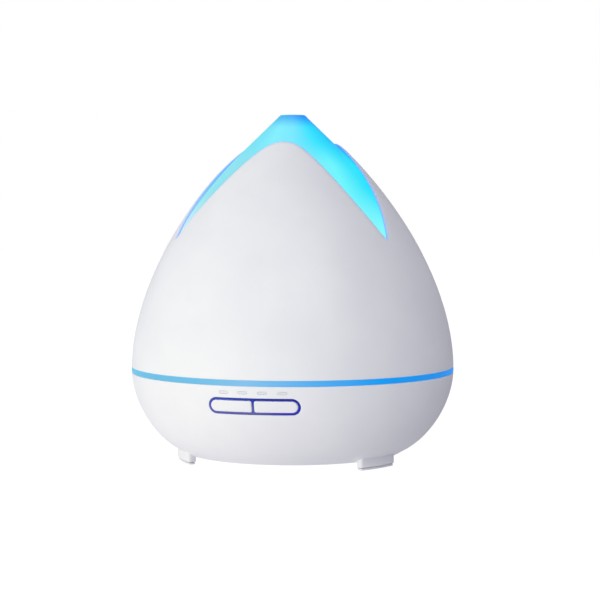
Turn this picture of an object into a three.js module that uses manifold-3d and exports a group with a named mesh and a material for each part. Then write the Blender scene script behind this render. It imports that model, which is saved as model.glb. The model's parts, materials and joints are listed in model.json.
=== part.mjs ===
// An ultrasonic essential-oil diffuser. A bud-shaped cover with three petals lifts off a round base.
// The base holds the water tank, the transducer under it, a fan, an air duct, the keys and the boards.
// Millimetres, +Z up, the keys face -Y, and the origin is on the floor under the middle.

import * as THREE from "three";
import { mergeVertices } from "three/addons/utils/BufferGeometryUtils.js";
import Module from "manifold-3d";

const wasm = await Module();
wasm.setup();

// ---------------------------------------------------------------- driving dimensions

const GAP = 0.3; // between pieces that touch
const BODY_RADIUS = 84;
const WAIST_Z = 47; // height of the widest ring
const NOZZLE_TOP_Z = 178.7;
const COLUMNS = 42; // facets around every large round piece
const PETALS = 3;
const APEX_Z = 164.7; // top of a petal
const VALLEY_Z = 114.3; // where the edges of two petals would meet
const HALF_PETAL = Math.PI / PETALS;
const COVER_TURN = THREE.MathUtils.degToRad(2); // the round cover sits a little turned on the base

// Outlines of the cover and of the base, as radius and height, both starting at the waist.
const COVER_CURVE = new THREE.CubicBezierCurve(
  new THREE.Vector2(BODY_RADIUS, WAIST_Z),
  new THREE.Vector2(BODY_RADIUS, 84.7),
  new THREE.Vector2(60.3, 130.3),
  new THREE.Vector2(22.4, 165.7),
);
const BASE_CURVE = new THREE.CubicBezierCurve(
  new THREE.Vector2(BODY_RADIUS, WAIST_Z),
  new THREE.Vector2(BODY_RADIUS, 31.8),
  new THREE.Vector2(73.9, 13.1),
  new THREE.Vector2(59.6, 5.7),
);

// Half of a petal's edge, from its top to the slit, as shares of its half angle and of its height.
const PETAL_CURVE = new THREE.CubicBezierCurve(
  new THREE.Vector2(0, 1),
  new THREE.Vector2(0.52, 1),
  new THREE.Vector2(0.695, 0.73),
  new THREE.Vector2(1, 0),
);
const SLIT_SHARE = 0.99; // beyond this share of the half angle the slit's end is flat

const COVER = { wall: 1.5, tipWall: 1.1, rimZ: 48.35, beadHeight: 1.2, beadRadius: 80.8, rows: 9 };
const CONE = {
  clearance: 0.7,
  wall: 1.5,
  holeRadius: 4.2,
  topRadius: 6.6,
  bevel: 0.4,
  socketRadius: 7.4,
  socketWall: 1.2,
  socketZ: 167,
};
const FUNNEL = { wall: 1.3, tubeRadius: 7, tubeZ: 150, skirtRadius: 34, skirtZ: 112, shoulderZ: 118 };
const BAND = {
  lowZ: 45.75,
  highZ: 48.05,
  ledgeZ: 46.5,
  ledgeRadius: 81.6,
  skirtZ: 43.8,
  skirtRadius: 80.8,
  innerRadius: 79,
};
const HOUSING = {
  wall: 2.2,
  rimZ: 45.45,
  bottomZ: 3.8,
  bottomRadius: 56.4,
  recessRadius: 55.9,
  lipRadius: 53.4,
  lipLowZ: 4.9,
  lipHighZ: 5.9,
};
const TANK = {
  floorZ: 27,
  underZ: 25,
  holeRadius: 8.6,
  rimZ: 58,
  collarRadius: 78.6,
  collarWall: 1.8,
  flangeRadius: 81.3,
};
const CHIMNEY = { halfWidth: 11.4, frontY: 53, rearY: 64.6, wall: 1.5, topZ: 56 };
const PLATE = { lowZ: 3.8, highZ: 5.6, radius: 53.1, flangeRadius: 55.6, flangeHighZ: 4.6 };
const FOOT = {
  outerRadius: 60.4,
  innerRadius: 56,
  halfAngle: THREE.MathUtils.degToRad(12.4),
  corner: 1.3,
  lowZ: 1.3,
  highZ: 6.4,
  padInset: 0.5,
};
const POST = { radius: 3.6, circle: 49.4, pilot: 1.6 };
const FAN = {
  y: 34.6,
  half: 17.5,
  lowZ: 6.6,
  highZ: 16.6,
  bore: 16.2,
  hub: 8.4,
  screwPitch: 14.5,
  blades: 7,
};
const HOOD = { radius: 16.9, wall: 1.3, lowZ: 16.9, highZ: 21, neckZ: 24.7 };
const DISC = { radius: 10, lowZ: 22.7, highZ: 23.9 };
const CLAMP = { circle: 19.5, lowZ: 20.1, highZ: 21.3, radius: 17, ear: 3.2 };
const LEDS = { innerRadius: 24, outerRadius: 34, lowZ: 21.4, highZ: 22.6, pinCircle: 31.5, count: 6 };
const PILL = { z: 35.6, halfLength: 22.8, halfHeight: 4.1, frame: 0.7 };
const WINDOW = { z: 42.3, pitch: 9.7, halfLength: 2.2, halfHeight: 0.6, count: 4 };
const SWITCH = {
  x: 11,
  half: 3,
  backY: -72.3,
  frontY: -75.2,
  recess: 1.6,
  plungerRadius: 1.5,
  stemY: -76.9,
};
const KEY_BOARD = {
  halfWidth: 22,
  frontY: -72,
  backY: -70.4,
  lowZ: 26,
  highZ: 42.6,
  screwX: 18.5,
  screwZ: 28.4,
};
const BOARD = { lowZ: 8, highZ: 9.6, backY: -4, frontY: -44.5, screwX: 36, screwY: -16 };
const JACK = {
  x: 26,
  halfWidth: 4.6,
  frontY: 41.5,
  backY: 53,
  lowZ: 10.2,
  highZ: 19,
  boreRadius: 3.15,
  sleeve: 5.3,
};

// ---------------------------------------------------------------- materials

const material = (color, roughness, metalness = 0) =>
  new THREE.MeshStandardMaterial({ color, roughness, metalness });
const WHITE_SHELL = material(0xf0f0f2, 0.45);
const FROSTED = material(0x52dcfa, 0.55);
const TANK_PLASTIC = material(0xe6f2f6, 0.5);
const BAND_PLASTIC = material(0x4aa8f0, 0.5);
const KEY_LIGHT = material(0x2034b0, 0.4);
const PALE_WINDOW = material(0xc8ccd2, 0.5);
const SILICONE = material(0xd8d8dc, 0.8);
const CERAMIC = material(0xc9b98a, 0.35, 0.4);
const STEEL = material(0xa8abb0, 0.35, 1);
const ALUMINIUM = material(0xb8bcc0, 0.4, 1);
const BLACK_PLASTIC = material(0x1c1d20, 0.5);
const GREEN_BOARD = material(0x1f5a3a, 0.5);
const COPPER = material(0xb06a3a, 0.4, 0.8);
const RED_WIRE = material(0xb02020, 0.6);
const GREY_WIRE = material(0x9aa0a6, 0.6);

// ---------------------------------------------------------------- shape helpers

// A closed geometry as a solid that can be joined and cut.
function solid(geometry) {
  const bare = geometry.index ? geometry.toNonIndexed() : geometry.clone();
  for (const name of ["normal", "uv"]) bare.deleteAttribute(name);
  const merged = mergeVertices(bare, 1e-3);
  return new wasm.Manifold(
    new wasm.Mesh({
      numProp: 3,
      vertProperties: merged.attributes.position.array,
      triVerts: new Uint32Array(merged.index.array),
    }),
  );
}

// A solid as a geometry again.
function geometryOf(body) {
  const { vertProperties, triVerts } = body.getMesh();
  return new THREE.BufferGeometry()
    .setAttribute("position", new THREE.BufferAttribute(new Float32Array(vertProperties), 3))
    .setIndex(new THREE.BufferAttribute(new Uint32Array(triVerts), 1));
}

const join = (first, ...rest) => rest.reduce((all, next) => all.add(next), first);
const cut = (first, ...rest) => rest.reduce((all, next) => all.subtract(next), first);

// A closed profile of [radius, height] points, listed with the material on its left, turned about Z.
function turned(profile, segments = COLUMNS) {
  const points = [...profile, profile[0]].map(([r, z]) => new THREE.Vector2(r, z));
  return new THREE.LatheGeometry(points, segments).rotateX(Math.PI / 2);
}

// A profile that starts and ends on the axis, turned about Z.
function turnedFromAxis(profile, segments = COLUMNS) {
  const points = profile.map(([r, z]) => new THREE.Vector2(r, z));
  return new THREE.LatheGeometry(points, segments).rotateX(Math.PI / 2);
}

function box([x0, x1], [y0, y1], [z0, z1]) {
  const made = new THREE.BoxGeometry(x1 - x0, y1 - y0, z1 - z0);
  return made.translate((x0 + x1) / 2, (y0 + y1) / 2, (z0 + z1) / 2);
}

// An upright cylinder.
function rod(x, y, z0, z1, radius, segments = 16) {
  const made = new THREE.CylinderGeometry(radius, radius, z1 - z0, segments).rotateX(Math.PI / 2);
  return made.translate(x, y, (z0 + z1) / 2);
}

// A cylinder along Y.
function rodAlongY(x, z, y0, y1, radius, segments = 16) {
  const made = new THREE.CylinderGeometry(radius, radius, y1 - y0, segments);
  return made.translate(x, (y0 + y1) / 2, z);
}

// An outline in X and Z, extended from y0 to y1.
function prismAlongY(shape, y0, y1, curveSegments = 6) {
  const made = new THREE.ExtrudeGeometry(shape, { depth: y1 - y0, bevelEnabled: false, curveSegments });
  return made.rotateX(Math.PI / 2).translate(0, y1, 0);
}

// An outline in X and Y, extended from z0 to z1.
function prismAlongZ(shape, z0, z1, curveSegments = 6) {
  const made = new THREE.ExtrudeGeometry(shape, { depth: z1 - z0, bevelEnabled: false, curveSegments });
  return made.translate(0, 0, z0);
}

// A bar with round ends, from x0 to x1 about height z. flatLeft and flatRight square an end off.
function bar(x0, x1, z, half, flatLeft = false, flatRight = false) {
  const shape = new THREE.Shape();
  shape.moveTo(flatLeft ? x0 : x0 + half, z - half);
  shape.lineTo(flatRight ? x1 : x1 - half, z - half);
  if (flatRight) shape.lineTo(x1, z + half);
  else shape.absarc(x1 - half, z, half, -Math.PI / 2, Math.PI / 2);
  shape.lineTo(flatLeft ? x0 : x0 + half, z + half);
  if (flatLeft) shape.lineTo(x0, z - half);
  else shape.absarc(x0 + half, z, half, Math.PI / 2, (3 * Math.PI) / 2);
  return shape;
}

// A round wire or a flat cable along a smooth line through points.
function cable(points, halfWidth, halfHeight = halfWidth, steps = 14) {
  const sides = 6;
  const corners = Array.from({ length: sides }, (_, i) => {
    const turn = ((i + 0.5) / sides) * 2 * Math.PI;
    return new THREE.Vector2(halfWidth * Math.cos(turn), halfHeight * Math.sin(turn));
  });
  const line = new THREE.CatmullRomCurve3(points.map((p) => new THREE.Vector3(...p)));
  return new THREE.ExtrudeGeometry(new THREE.Shape(corners), { extrudePath: line, steps });
}

// A pan-head screw that points up, its head's underside at seatZ.
function screw(x, y, seatZ, tipZ, { head = 2.7, headHeight = 1.4, shaft = 1.3 } = {}) {
  const up = tipZ > seatZ ? 1 : -1;
  const top = seatZ - up * headHeight;
  const span = (a, b) => [Math.min(a, b), Math.max(a, b)];
  const [headLow, headHigh] = span(top, seatZ);
  const [shaftLow, shaftHigh] = span(seatZ - up * headHeight * 0.5, tipZ);
  const slot = span(top - up, top + up * headHeight * 0.4);
  const body = join(
    solid(rod(x, y, headLow, headHigh, head)),
    solid(rod(x, y, shaftLow, shaftHigh, shaft, 10)),
  );
  const crossA = solid(box([x - head * 0.6, x + head * 0.6], [y - 0.35, y + 0.35], slot));
  const crossB = solid(box([x - 0.35, x + 0.35], [y - head * 0.6, y + head * 0.6], slot));
  return geometryOf(cut(body, crossA, crossB));
}

// ---------------------------------------------------------------- outlines

// The share of a curve, from 0 to 1, at which its x or its y reaches a value.
function shareAt(curve, axis, value) {
  const rising = curve.getPoint(1)[axis] > curve.getPoint(0)[axis];
  let [low, high] = [0, 1];
  for (let i = 0; i < 40; i++) {
    const middle = (low + high) / 2;
    if (curve.getPoint(middle)[axis] < value === rising) low = middle;
    else high = middle;
  }
  return (low + high) / 2;
}

const shareAtHeight = (curve, z) => shareAt(curve, "y", z);

// A point of a curve moved towards the inside of the body by a distance.
function inset(curve, share, distance) {
  const point = curve.getPoint(share);
  const tangent = curve.getTangent(share);
  const side = Math.sign(tangent.y);
  return [point.x - side * tangent.y * distance, point.y + side * tangent.x * distance];
}

const insetRow = (curve, from, to, count, distance) =>
  Array.from({ length: count + 1 }, (_, i) => {
    const share = from + ((to - from) * i) / count;
    return inset(curve, share, distance(share));
  });

const coverWall = (share) => COVER.wall + (COVER.tipWall - COVER.wall) * share;

// Height of the cover's upper edge, by the angle from the middle of the front petal.
function petalEdge(angle) {
  const turn = THREE.MathUtils.euclideanModulo(angle, 2 * HALF_PETAL);
  const share = Math.min(turn, 2 * HALF_PETAL - turn) / HALF_PETAL;
  const along = shareAt(PETAL_CURVE, "x", Math.min(share, SLIT_SHARE));
  return VALLEY_Z + (APEX_Z - VALLEY_Z) * PETAL_CURVE.getPoint(along).y;
}

// The angles of the cover's columns: even steps, with more of them beside each slit.
function coverAngles() {
  const step = (2 * Math.PI) / COLUMNS;
  const even = Array.from({ length: COLUMNS }, (_, i) => i * step);
  const slits = Array.from({ length: PETALS }, (_, i) => (2 * i + 1) * HALF_PETAL);
  const flat = (1 - SLIT_SHARE) * HALF_PETAL;
  const extra = slits.flatMap((a) => [a - 0.5 * step, a - flat, a + flat, a + 0.5 * step]);
  return [...even, ...extra].sort((a, b) => a - b);
}

// ---------------------------------------------------------------- cover

// The white shell: one closed wall section for each column, joined all the way round.
function outerCover() {
  const foot = shareAtHeight(COVER_CURVE, COVER.rimZ);
  const sections = coverAngles().map((angle) => {
    const top = shareAtHeight(COVER_CURVE, petalEdge(angle));
    const outer = insetRow(COVER_CURVE, foot, top, COVER.rows, () => 0);
    const beadShare = shareAtHeight(COVER_CURVE, COVER.rimZ + COVER.beadHeight);
    const inner = insetRow(COVER_CURVE, beadShare, top, COVER.rows, coverWall).reverse();
    const bead = [
      [COVER.beadRadius, inner.at(-1)[1]],
      [COVER.beadRadius, outer[0][1]],
    ];
    return { angle, loop: [...outer, ...inner, ...bead] };
  });
  const size = sections[0].loop.length;
  const positions = sections.flatMap(({ angle, loop }) => {
    const turn = angle + COVER_TURN;
    return loop.flatMap(([r, z]) => [r * Math.sin(turn), -r * Math.cos(turn), z]);
  });
  const index = [];
  sections.forEach((_, i) => {
    const next = (i + 1) % sections.length;
    for (let j = 0; j < size; j++) {
      const [a, b] = [i * size + j, i * size + ((j + 1) % size)];
      const [c, d] = [next * size + j, next * size + ((j + 1) % size)];
      index.push(a, c, b, b, c, d);
    }
  });
  return new THREE.BufferGeometry()
    .setAttribute("position", new THREE.Float32BufferAttribute(positions, 3))
    .setIndex(index);
}

// The frosted liner that fills the slits and forms the nozzle, with a socket for the funnel.
function lightCone() {
  const foot = shareAtHeight(COVER_CURVE, COVER.rimZ + COVER.beadHeight + GAP);
  const outerDepth = (share) => coverWall(share) + CONE.clearance;
  const innerDepth = (share) => outerDepth(share) + CONE.wall;
  const outer = insetRow(COVER_CURVE, foot, 1, 9, outerDepth);
  const inner = insetRow(COVER_CURVE, foot, 1, 6, innerDepth).reverse();
  const [shoulderR, shoulderZ] = outer.at(-1);
  const slope = (shoulderR - CONE.topRadius) / (NOZZLE_TOP_Z - shoulderZ);
  const across = CONE.wall * Math.hypot(1, slope);
  const socketOuter = CONE.socketRadius + CONE.socketWall;
  const innerAt = (r) => NOZZLE_TOP_Z - (r + across - CONE.topRadius) / slope;
  return turned(
    [
      ...outer,
      [CONE.topRadius, NOZZLE_TOP_Z - CONE.bevel],
      [CONE.topRadius - CONE.bevel, NOZZLE_TOP_Z],
      [CONE.holeRadius, NOZZLE_TOP_Z],
      [CONE.holeRadius, innerAt(CONE.holeRadius) - 1],
      [CONE.socketRadius, innerAt(CONE.holeRadius) - 1],
      [CONE.socketRadius, CONE.socketZ],
      [socketOuter, CONE.socketZ],
      [socketOuter, innerAt(socketOuter)],
      ...inner,
    ],
    COLUMNS,
  ).rotateZ(COVER_TURN);
}

// The funnel that leads mist to the nozzle and lets drops run back.
function mistFunnel() {
  const { wall, tubeRadius, tubeZ, skirtRadius, skirtZ, shoulderZ } = FUNNEL;
  const topZ = CONE.socketZ + 6;
  return turned(
    [
      [skirtRadius, skirtZ],
      [skirtRadius, shoulderZ],
      [tubeRadius, tubeZ],
      [tubeRadius, topZ],
      [tubeRadius - wall, topZ],
      [tubeRadius - wall, tubeZ - 1],
      [skirtRadius - wall, shoulderZ - 1],
      [skirtRadius - wall, skirtZ],
    ],
    24,
  );
}

// ---------------------------------------------------------------- base shells

// The lit band between the cover and the housing, with a ledge for the tank and a locating skirt.
function lightBand() {
  return turned([
    [BAND.innerRadius, BAND.skirtZ],
    [BAND.skirtRadius, BAND.skirtZ],
    [BAND.skirtRadius, BAND.lowZ],
    [BODY_RADIUS, BAND.lowZ],
    [BODY_RADIUS, BAND.highZ],
    [BAND.ledgeRadius, BAND.highZ],
    [BAND.ledgeRadius, BAND.ledgeZ],
    [BAND.innerRadius, BAND.ledgeZ],
  ]);
}

// Everything between two depths under the base's outer surface, as a solid of its own.
function baseLayer(outerDepth, innerDepth, lowZ, highZ) {
  const [low, high] = [shareAtHeight(BASE_CURVE, lowZ), shareAtHeight(BASE_CURVE, highZ)];
  const outer = insetRow(BASE_CURVE, low, high, 6, () => outerDepth);
  const inner = insetRow(BASE_CURVE, high, low, 6, () => innerDepth);
  return solid(turned([...outer, ...inner]));
}

const windowXs = () =>
  Array.from({ length: WINDOW.count }, (_, i) => (i - (WINDOW.count - 1) / 2) * WINDOW.pitch);

const windowBar = (x, extra) =>
  bar(x - WINDOW.halfLength - extra, x + WINDOW.halfLength + extra, WINDOW.z, WINDOW.halfHeight + extra);

// Everything inside the base's outer curve.
function baseInside() {
  const outer = insetRow(BASE_CURVE, 1, 0, 8, () => 0);
  return solid(turnedFromAxis([[0, outer[0][1]], ...outer, [0, WAIST_Z]]));
}

// The lower white shell: its feet, a lip over the bottom plate's flange, and openings for the keys,
// the windows and the power jack.
function baseHousing() {
  const { wall, rimZ, bottomZ, bottomRadius, recessRadius, lipRadius, lipLowZ, lipHighZ } = HOUSING;
  const top = shareAtHeight(BASE_CURVE, rimZ);
  const shell = solid(
    turned([
      [recessRadius, bottomZ],
      [bottomRadius, bottomZ],
      ...insetRow(BASE_CURVE, 1, top, 9, () => 0),
      ...insetRow(BASE_CURVE, top, 0.95, 6, () => wall),
      [lipRadius, lipHighZ],
      [lipRadius, lipLowZ],
      [recessRadius, lipLowZ],
    ]),
  );
  const footShape = footOutline(0);
  const feet = Object.values(FOOT_ANGLES).map((angle) =>
    solid(prismAlongZ(footShape, FOOT.lowZ, FOOT.highZ, 3).rotateZ(angle)),
  );
  const { screwX, screwZ, frontY } = KEY_BOARD;
  const jackZ = (JACK.lowZ + JACK.highZ) / 2;
  const inserts = join(
    ...[-1, 1].map((side) => solid(rodAlongY(side * screwX, screwZ, -76.4, frontY - GAP, 2.4, 12))),
    solid(rodAlongY(JACK.x, jackZ, JACK.backY + GAP, 80, JACK.sleeve + 1.4, 24)),
  );
  const pill = bar(-PILL.halfLength, PILL.halfLength, PILL.z, PILL.halfHeight);
  const openings = [
    solid(prismAlongY(pill, -90, -60)),
    ...windowXs().map((x) => solid(prismAlongY(windowBar(x, GAP), -90, -60, 3))),
    ...[-1, 1].map((side) => solid(rodAlongY(side * screwX, screwZ, -75.4, frontY, 1.3, 10))),
    solid(rodAlongY(JACK.x, jackZ, JACK.backY - 1, 90, JACK.sleeve, 24)),
  ];
  return geometryOf(cut(join(shell, inserts.intersect(baseInside()), ...feet), ...openings));
}

// The outline of a foot: a bent bar with rounded corners. inset makes it smaller all round.
function footOutline(inset) {
  const { corner } = FOOT;
  const [outer, inner] = [FOOT.outerRadius - inset, FOOT.innerRadius + inset];
  const reach = FOOT.halfAngle - inset / FOOT.outerRadius;
  const at = (radius, angle) => [radius * Math.cos(angle), radius * Math.sin(angle)];
  const shape = new THREE.Shape();
  shape.moveTo(...at(outer, -reach + corner / outer));
  shape.absarc(0, 0, outer, -reach + corner / outer, reach - corner / outer);
  shape.quadraticCurveTo(...at(outer, reach), ...at(outer - corner, reach));
  shape.lineTo(...at(inner + corner, reach));
  shape.quadraticCurveTo(...at(inner, reach), ...at(inner, reach - corner / inner));
  shape.absarc(0, 0, inner, reach - corner / inner, -reach + corner / inner, true);
  shape.quadraticCurveTo(...at(inner, -reach), ...at(inner + corner, -reach));
  shape.lineTo(...at(outer - corner, -reach));
  shape.quadraticCurveTo(...at(outer, -reach), ...at(outer, -reach + corner / outer));
  return shape;
}

// Directions of the three feet, as angles from +X: at the rear and to the left and right of the front.
const FOOT_ANGLES = {
  rear: Math.PI / 2,
  front_left: THREE.MathUtils.degToRad(210),
  front_right: THREE.MathUtils.degToRad(330),
};

// Directions of the three posts that the underside's screws go into: between the feet.
const POST_SPOTS = [-Math.PI / 2, Math.PI / 6, (5 * Math.PI) / 6].map((angle) => [
  POST.circle * Math.cos(angle),
  POST.circle * Math.sin(angle),
]);

const FAN_SCREWS = [
  [-FAN.screwPitch, FAN.y - FAN.screwPitch],
  [FAN.screwPitch, FAN.y + FAN.screwPitch],
];
const BOARD_SCREWS = [-1, 1].map((side) => [side * BOARD.screwX, BOARD.screwY]);

// The underside: a plate whose flange holds the housing's lip, with an air grille under the fan, and
// supports for fan and board.
function bottomCover() {
  const { lowZ, highZ, radius, flangeRadius, flangeHighZ } = PLATE;
  const plate = solid(
    turnedFromAxis([
      [0, lowZ],
      [flangeRadius, lowZ],
      [flangeRadius, flangeHighZ],
      [radius, flangeHighZ],
      [radius, highZ],
      [0, highZ],
    ]),
  );
  const supports = [
    ...FAN_SCREWS.map(([x, y]) => solid(rod(x, y, PLATE.lowZ + 1, FAN.lowZ - GAP, 3, 12))),
    ...[-1, 1].map((side) =>
      solid(rod(side * FAN.screwPitch, FAN.y - side * FAN.screwPitch, PLATE.lowZ + 1, FAN.lowZ - GAP, 3, 12)),
    ),
    ...BOARD_SCREWS.map(([x, y]) => solid(rod(x, y, PLATE.lowZ + 1, BOARD.lowZ - GAP, 3, 12))),
    solid(rod(0, BOARD.frontY + 4, PLATE.lowZ + 1, BOARD.lowZ - GAP, 2.5, 12)),
  ];
  const pilots = [
    ...FAN_SCREWS.map(([x, y]) => solid(rod(x, y, PLATE.lowZ + 0.8, 20, POST.pilot, 10))),
    ...BOARD_SCREWS.map(([x, y]) => solid(rod(x, y, PLATE.lowZ + 0.8, 20, POST.pilot, 10))),
  ];
  const screwHoles = POST_SPOTS.flatMap(([x, y]) => [
    solid(rod(x, y, 0, PLATE.highZ + 1, POST.pilot, 10)),
    solid(rod(x, y, 0, PLATE.lowZ + 1.2, 3.1, 16)),
  ]);
  const slotPitch = 4.8;
  const slots = [-2, -1, 0, 1, 2].map((i) => {
    const half = Math.sqrt(15 ** 2 - (i * slotPitch) ** 2);
    return solid(box([-half, half], [FAN.y + i * slotPitch - 1.2, FAN.y + i * slotPitch + 1.2], [0, 6]));
  });
  const inLip = solid(rod(0, 0, 0, FAN.highZ, radius, COLUMNS));
  const body = join(plate, join(...supports).intersect(inLip));
  return geometryOf(cut(body, ...pilots, ...screwHoles, ...slots));
}

function footPad(angle) {
  return prismAlongZ(footOutline(FOOT.padInset), 0, FOOT.lowZ - GAP, 3).rotateZ(angle);
}

// ---------------------------------------------------------------- tank and transducer

const clampSpots = [-Math.PI / 2, Math.PI / 6, (5 * Math.PI) / 6].map((angle) => [
  CLAMP.circle * Math.cos(angle),
  CLAMP.circle * Math.sin(angle),
]);
const pinSpots = [0.5, 0.5 + (2 * Math.PI) / 3, 0.5 + (4 * Math.PI) / 3].map((angle) => [
  LEDS.pinCircle * Math.cos(angle),
  LEDS.pinCircle * Math.sin(angle),
]);

// The frosted bowl: a collar inside the cover, a flange on the band, an air chimney, and on its
// underside the transducer's seat, screw posts and pins for the light board.
function waterTank() {
  const { floorZ, underZ, holeRadius, rimZ, collarRadius, collarWall, flangeRadius } = TANK;
  const flangeLow = BAND.ledgeZ + GAP;
  const flangeHigh = BAND.highZ;
  const bowl = solid(
    turned([
      [holeRadius, underZ + 0.2],
      [13.4, underZ + 0.2],
      [13.4, 21.9],
      [15.6, 21.9],
      [15.6, underZ],
      [56, underZ],
      [61.5, 27.4],
      [64.6, 32],
      [66, 38],
      [66, flangeLow],
      [flangeRadius, flangeLow],
      [flangeRadius, flangeHigh],
      [collarRadius, flangeHigh],
      [collarRadius, rimZ],
      [collarRadius - collarWall, rimZ],
      [collarRadius - collarWall, flangeHigh + 0.5],
      [64.2, flangeHigh + 0.5],
      [64.2, 38.4],
      [63, 33],
      [60.2, 29],
      [55.4, floorZ],
      [holeRadius, floorZ],
    ]),
  );
  const { halfWidth, frontY, rearY, wall, topZ } = CHIMNEY;
  const chimney = solid(box([-halfWidth, halfWidth], [frontY, rearY], [underZ, topZ]));
  const shaft = solid(
    box([-halfWidth + wall, halfWidth - wall], [frontY + wall, rearY - wall], [0, topZ + 1]),
  );
  const posts = POST_SPOTS.map(([x, y]) =>
    cut(
      solid(rod(x, y, PLATE.highZ + GAP, underZ + 0.5, POST.radius)),
      solid(rod(x, y, 0, 18, POST.pilot, 10)),
    ),
  );
  const bosses = clampSpots.map(([x, y]) =>
    cut(solid(rod(x, y, CLAMP.highZ + GAP, underZ + 0.5, 2.8, 12)), solid(rod(x, y, 0, underZ, 1.5, 10))),
  );
  const pins = pinSpots.map(([x, y]) => solid(rod(x, y, LEDS.lowZ - 0.6, underZ + 0.5, 1.1, 8)));
  return geometryOf(cut(join(bowl, chimney, ...posts, ...bosses, ...pins), shaft));
}

// A ring of soft silicone with a groove that holds the transducer's edge.
function transducerGasket() {
  const [lowZ, highZ, outer, inner] = [21.6, 24.9, 13.1, 8.2];
  const groove = DISC.radius + GAP;
  return turned(
    [
      [inner, lowZ],
      [outer, lowZ],
      [outer, highZ],
      [inner, highZ],
      [inner, DISC.highZ + GAP],
      [groove, DISC.highZ + GAP],
      [groove, DISC.lowZ - GAP],
      [inner, DISC.lowZ - GAP],
    ],
    24,
  );
}

function clampRing() {
  const ring = solid(rod(0, 0, CLAMP.lowZ, CLAMP.highZ, CLAMP.radius, 32));
  const ears = clampSpots.map(([x, y]) => solid(rod(x, y, CLAMP.lowZ, CLAMP.highZ, CLAMP.ear)));
  const holes = clampSpots.map(([x, y]) => solid(rod(x, y, 0, 30, 1.6, 12)));
  return geometryOf(cut(join(ring, ...ears), solid(rod(0, 0, 0, 30, 8.6, 24)), ...holes));
}

// A ring-shaped board with its light-emitting diodes, which shine up into the tank.
function ledBoard() {
  const ring = solid(rod(0, 0, LEDS.lowZ, LEDS.highZ, LEDS.outerRadius, 36));
  const holes = pinSpots.map(([x, y]) => solid(rod(x, y, 0, 30, 1.5, 10)));
  const middle = (LEDS.innerRadius + LEDS.outerRadius) / 2 - 1;
  const diodes = Array.from({ length: LEDS.count }, (_, i) => {
    const diode = box([middle - 2.5, middle + 2.5], [-2.5, 2.5], [LEDS.highZ - 0.2, LEDS.highZ + 1.5]);
    return solid(diode.rotateZ((i * 2 * Math.PI) / LEDS.count));
  });
  return geometryOf(join(cut(ring, solid(rod(0, 0, 0, 30, LEDS.innerRadius, 32)), ...holes), ...diodes));
}

// ---------------------------------------------------------------- air

function fanFrame() {
  const corner = 3;
  const reach = FAN.half - corner;
  const outline = new THREE.Shape();
  outline.absarc(reach, reach, corner, 0, Math.PI / 2);
  outline.absarc(-reach, reach, corner, Math.PI / 2, Math.PI);
  outline.absarc(-reach, -reach, corner, Math.PI, (3 * Math.PI) / 2);
  outline.absarc(reach, -reach, corner, (3 * Math.PI) / 2, 2 * Math.PI);
  const body = solid(prismAlongZ(outline, FAN.lowZ, FAN.highZ, 3));
  const bore = solid(rod(0, 0, 0, 30, FAN.bore, 32));
  const holes = [-1, 1].flatMap((i) =>
    [-1, 1].map((j) => solid(rod(i * FAN.screwPitch, j * FAN.screwPitch, 0, 30, 1.7, 10))),
  );
  const spokes = [0, 1, 2].map((i) => {
    const spoke = box([0, FAN.bore + 1], [-1, 1], [FAN.lowZ, FAN.lowZ + 1.2]);
    return solid(spoke.rotateZ(Math.PI / 2 + (i * 2 * Math.PI) / 3));
  });
  const seat = solid(rod(0, 0, FAN.lowZ, FAN.lowZ + 1.2, FAN.hub, 24));
  return geometryOf(join(cut(body, bore, ...holes), ...spokes, seat)).translate(0, FAN.y, 0);
}

function fanRotor() {
  const [lowZ, highZ] = [FAN.lowZ + 1.6, FAN.highZ - 0.8];
  const middle = (lowZ + highZ) / 2;
  const pitch = THREE.MathUtils.degToRad(38);
  const blades = Array.from({ length: FAN.blades }, (_, i) =>
    solid(
      box([FAN.hub - 1, FAN.bore], [-5, 5], [-0.5, 0.5])
        .rotateX(pitch)
        .translate(0, 0, middle)
        .rotateZ((i * 2 * Math.PI) / FAN.blades),
    ),
  );
  const sweep = solid(rod(0, 0, lowZ, highZ, FAN.bore - 0.8, 28));
  const hub = solid(rod(0, 0, lowZ, highZ, FAN.hub, 24));
  return geometryOf(join(hub, ...blades).intersect(sweep)).translate(0, FAN.y, 0);
}

// The hood over the fan and its neck, which lead air up into the tank's chimney.
function fanHood() {
  const { halfWidth, frontY, rearY } = CHIMNEY;
  const cover = (extra, z0, z1) =>
    join(
      solid(rod(0, FAN.y, z0, z1, HOOD.radius - extra, 32)),
      solid(box([-halfWidth + extra, halfWidth - extra], [FAN.y, rearY - extra], [z0, z1])),
    );
  const neck = (extra, z0, z1) =>
    solid(box([-halfWidth + extra, halfWidth - extra], [frontY + extra, rearY - extra], [z0, z1]));
  const outside = join(cover(0, HOOD.lowZ, HOOD.highZ), neck(0, HOOD.lowZ, HOOD.neckZ));
  const inside = join(
    solid(rod(0, FAN.y, 0, HOOD.highZ - HOOD.wall, HOOD.radius - HOOD.wall, 32)),
    solid(
      box(
        [-halfWidth + HOOD.wall, halfWidth - HOOD.wall],
        [FAN.y, rearY - HOOD.wall],
        [HOOD.lowZ + 1, HOOD.highZ - HOOD.wall],
      ),
    ),
    neck(HOOD.wall, HOOD.lowZ + 1, 30),
  );
  return geometryOf(cut(outside, inside));
}

// ---------------------------------------------------------------- keys

const keySpan = (side) => {
  const near = PILL.frame / 2 + GAP;
  const far = PILL.halfLength - GAP - PILL.frame - GAP;
  return side < 0 ? [-far, -near] : [near, far];
};

function keyOutline(side, extra) {
  const [x0, x1] = keySpan(side);
  const half = PILL.halfHeight - GAP - PILL.frame - GAP + extra;
  return bar(x0 - extra, x1 + extra, PILL.z, half, side > 0, side < 0);
}

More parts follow.
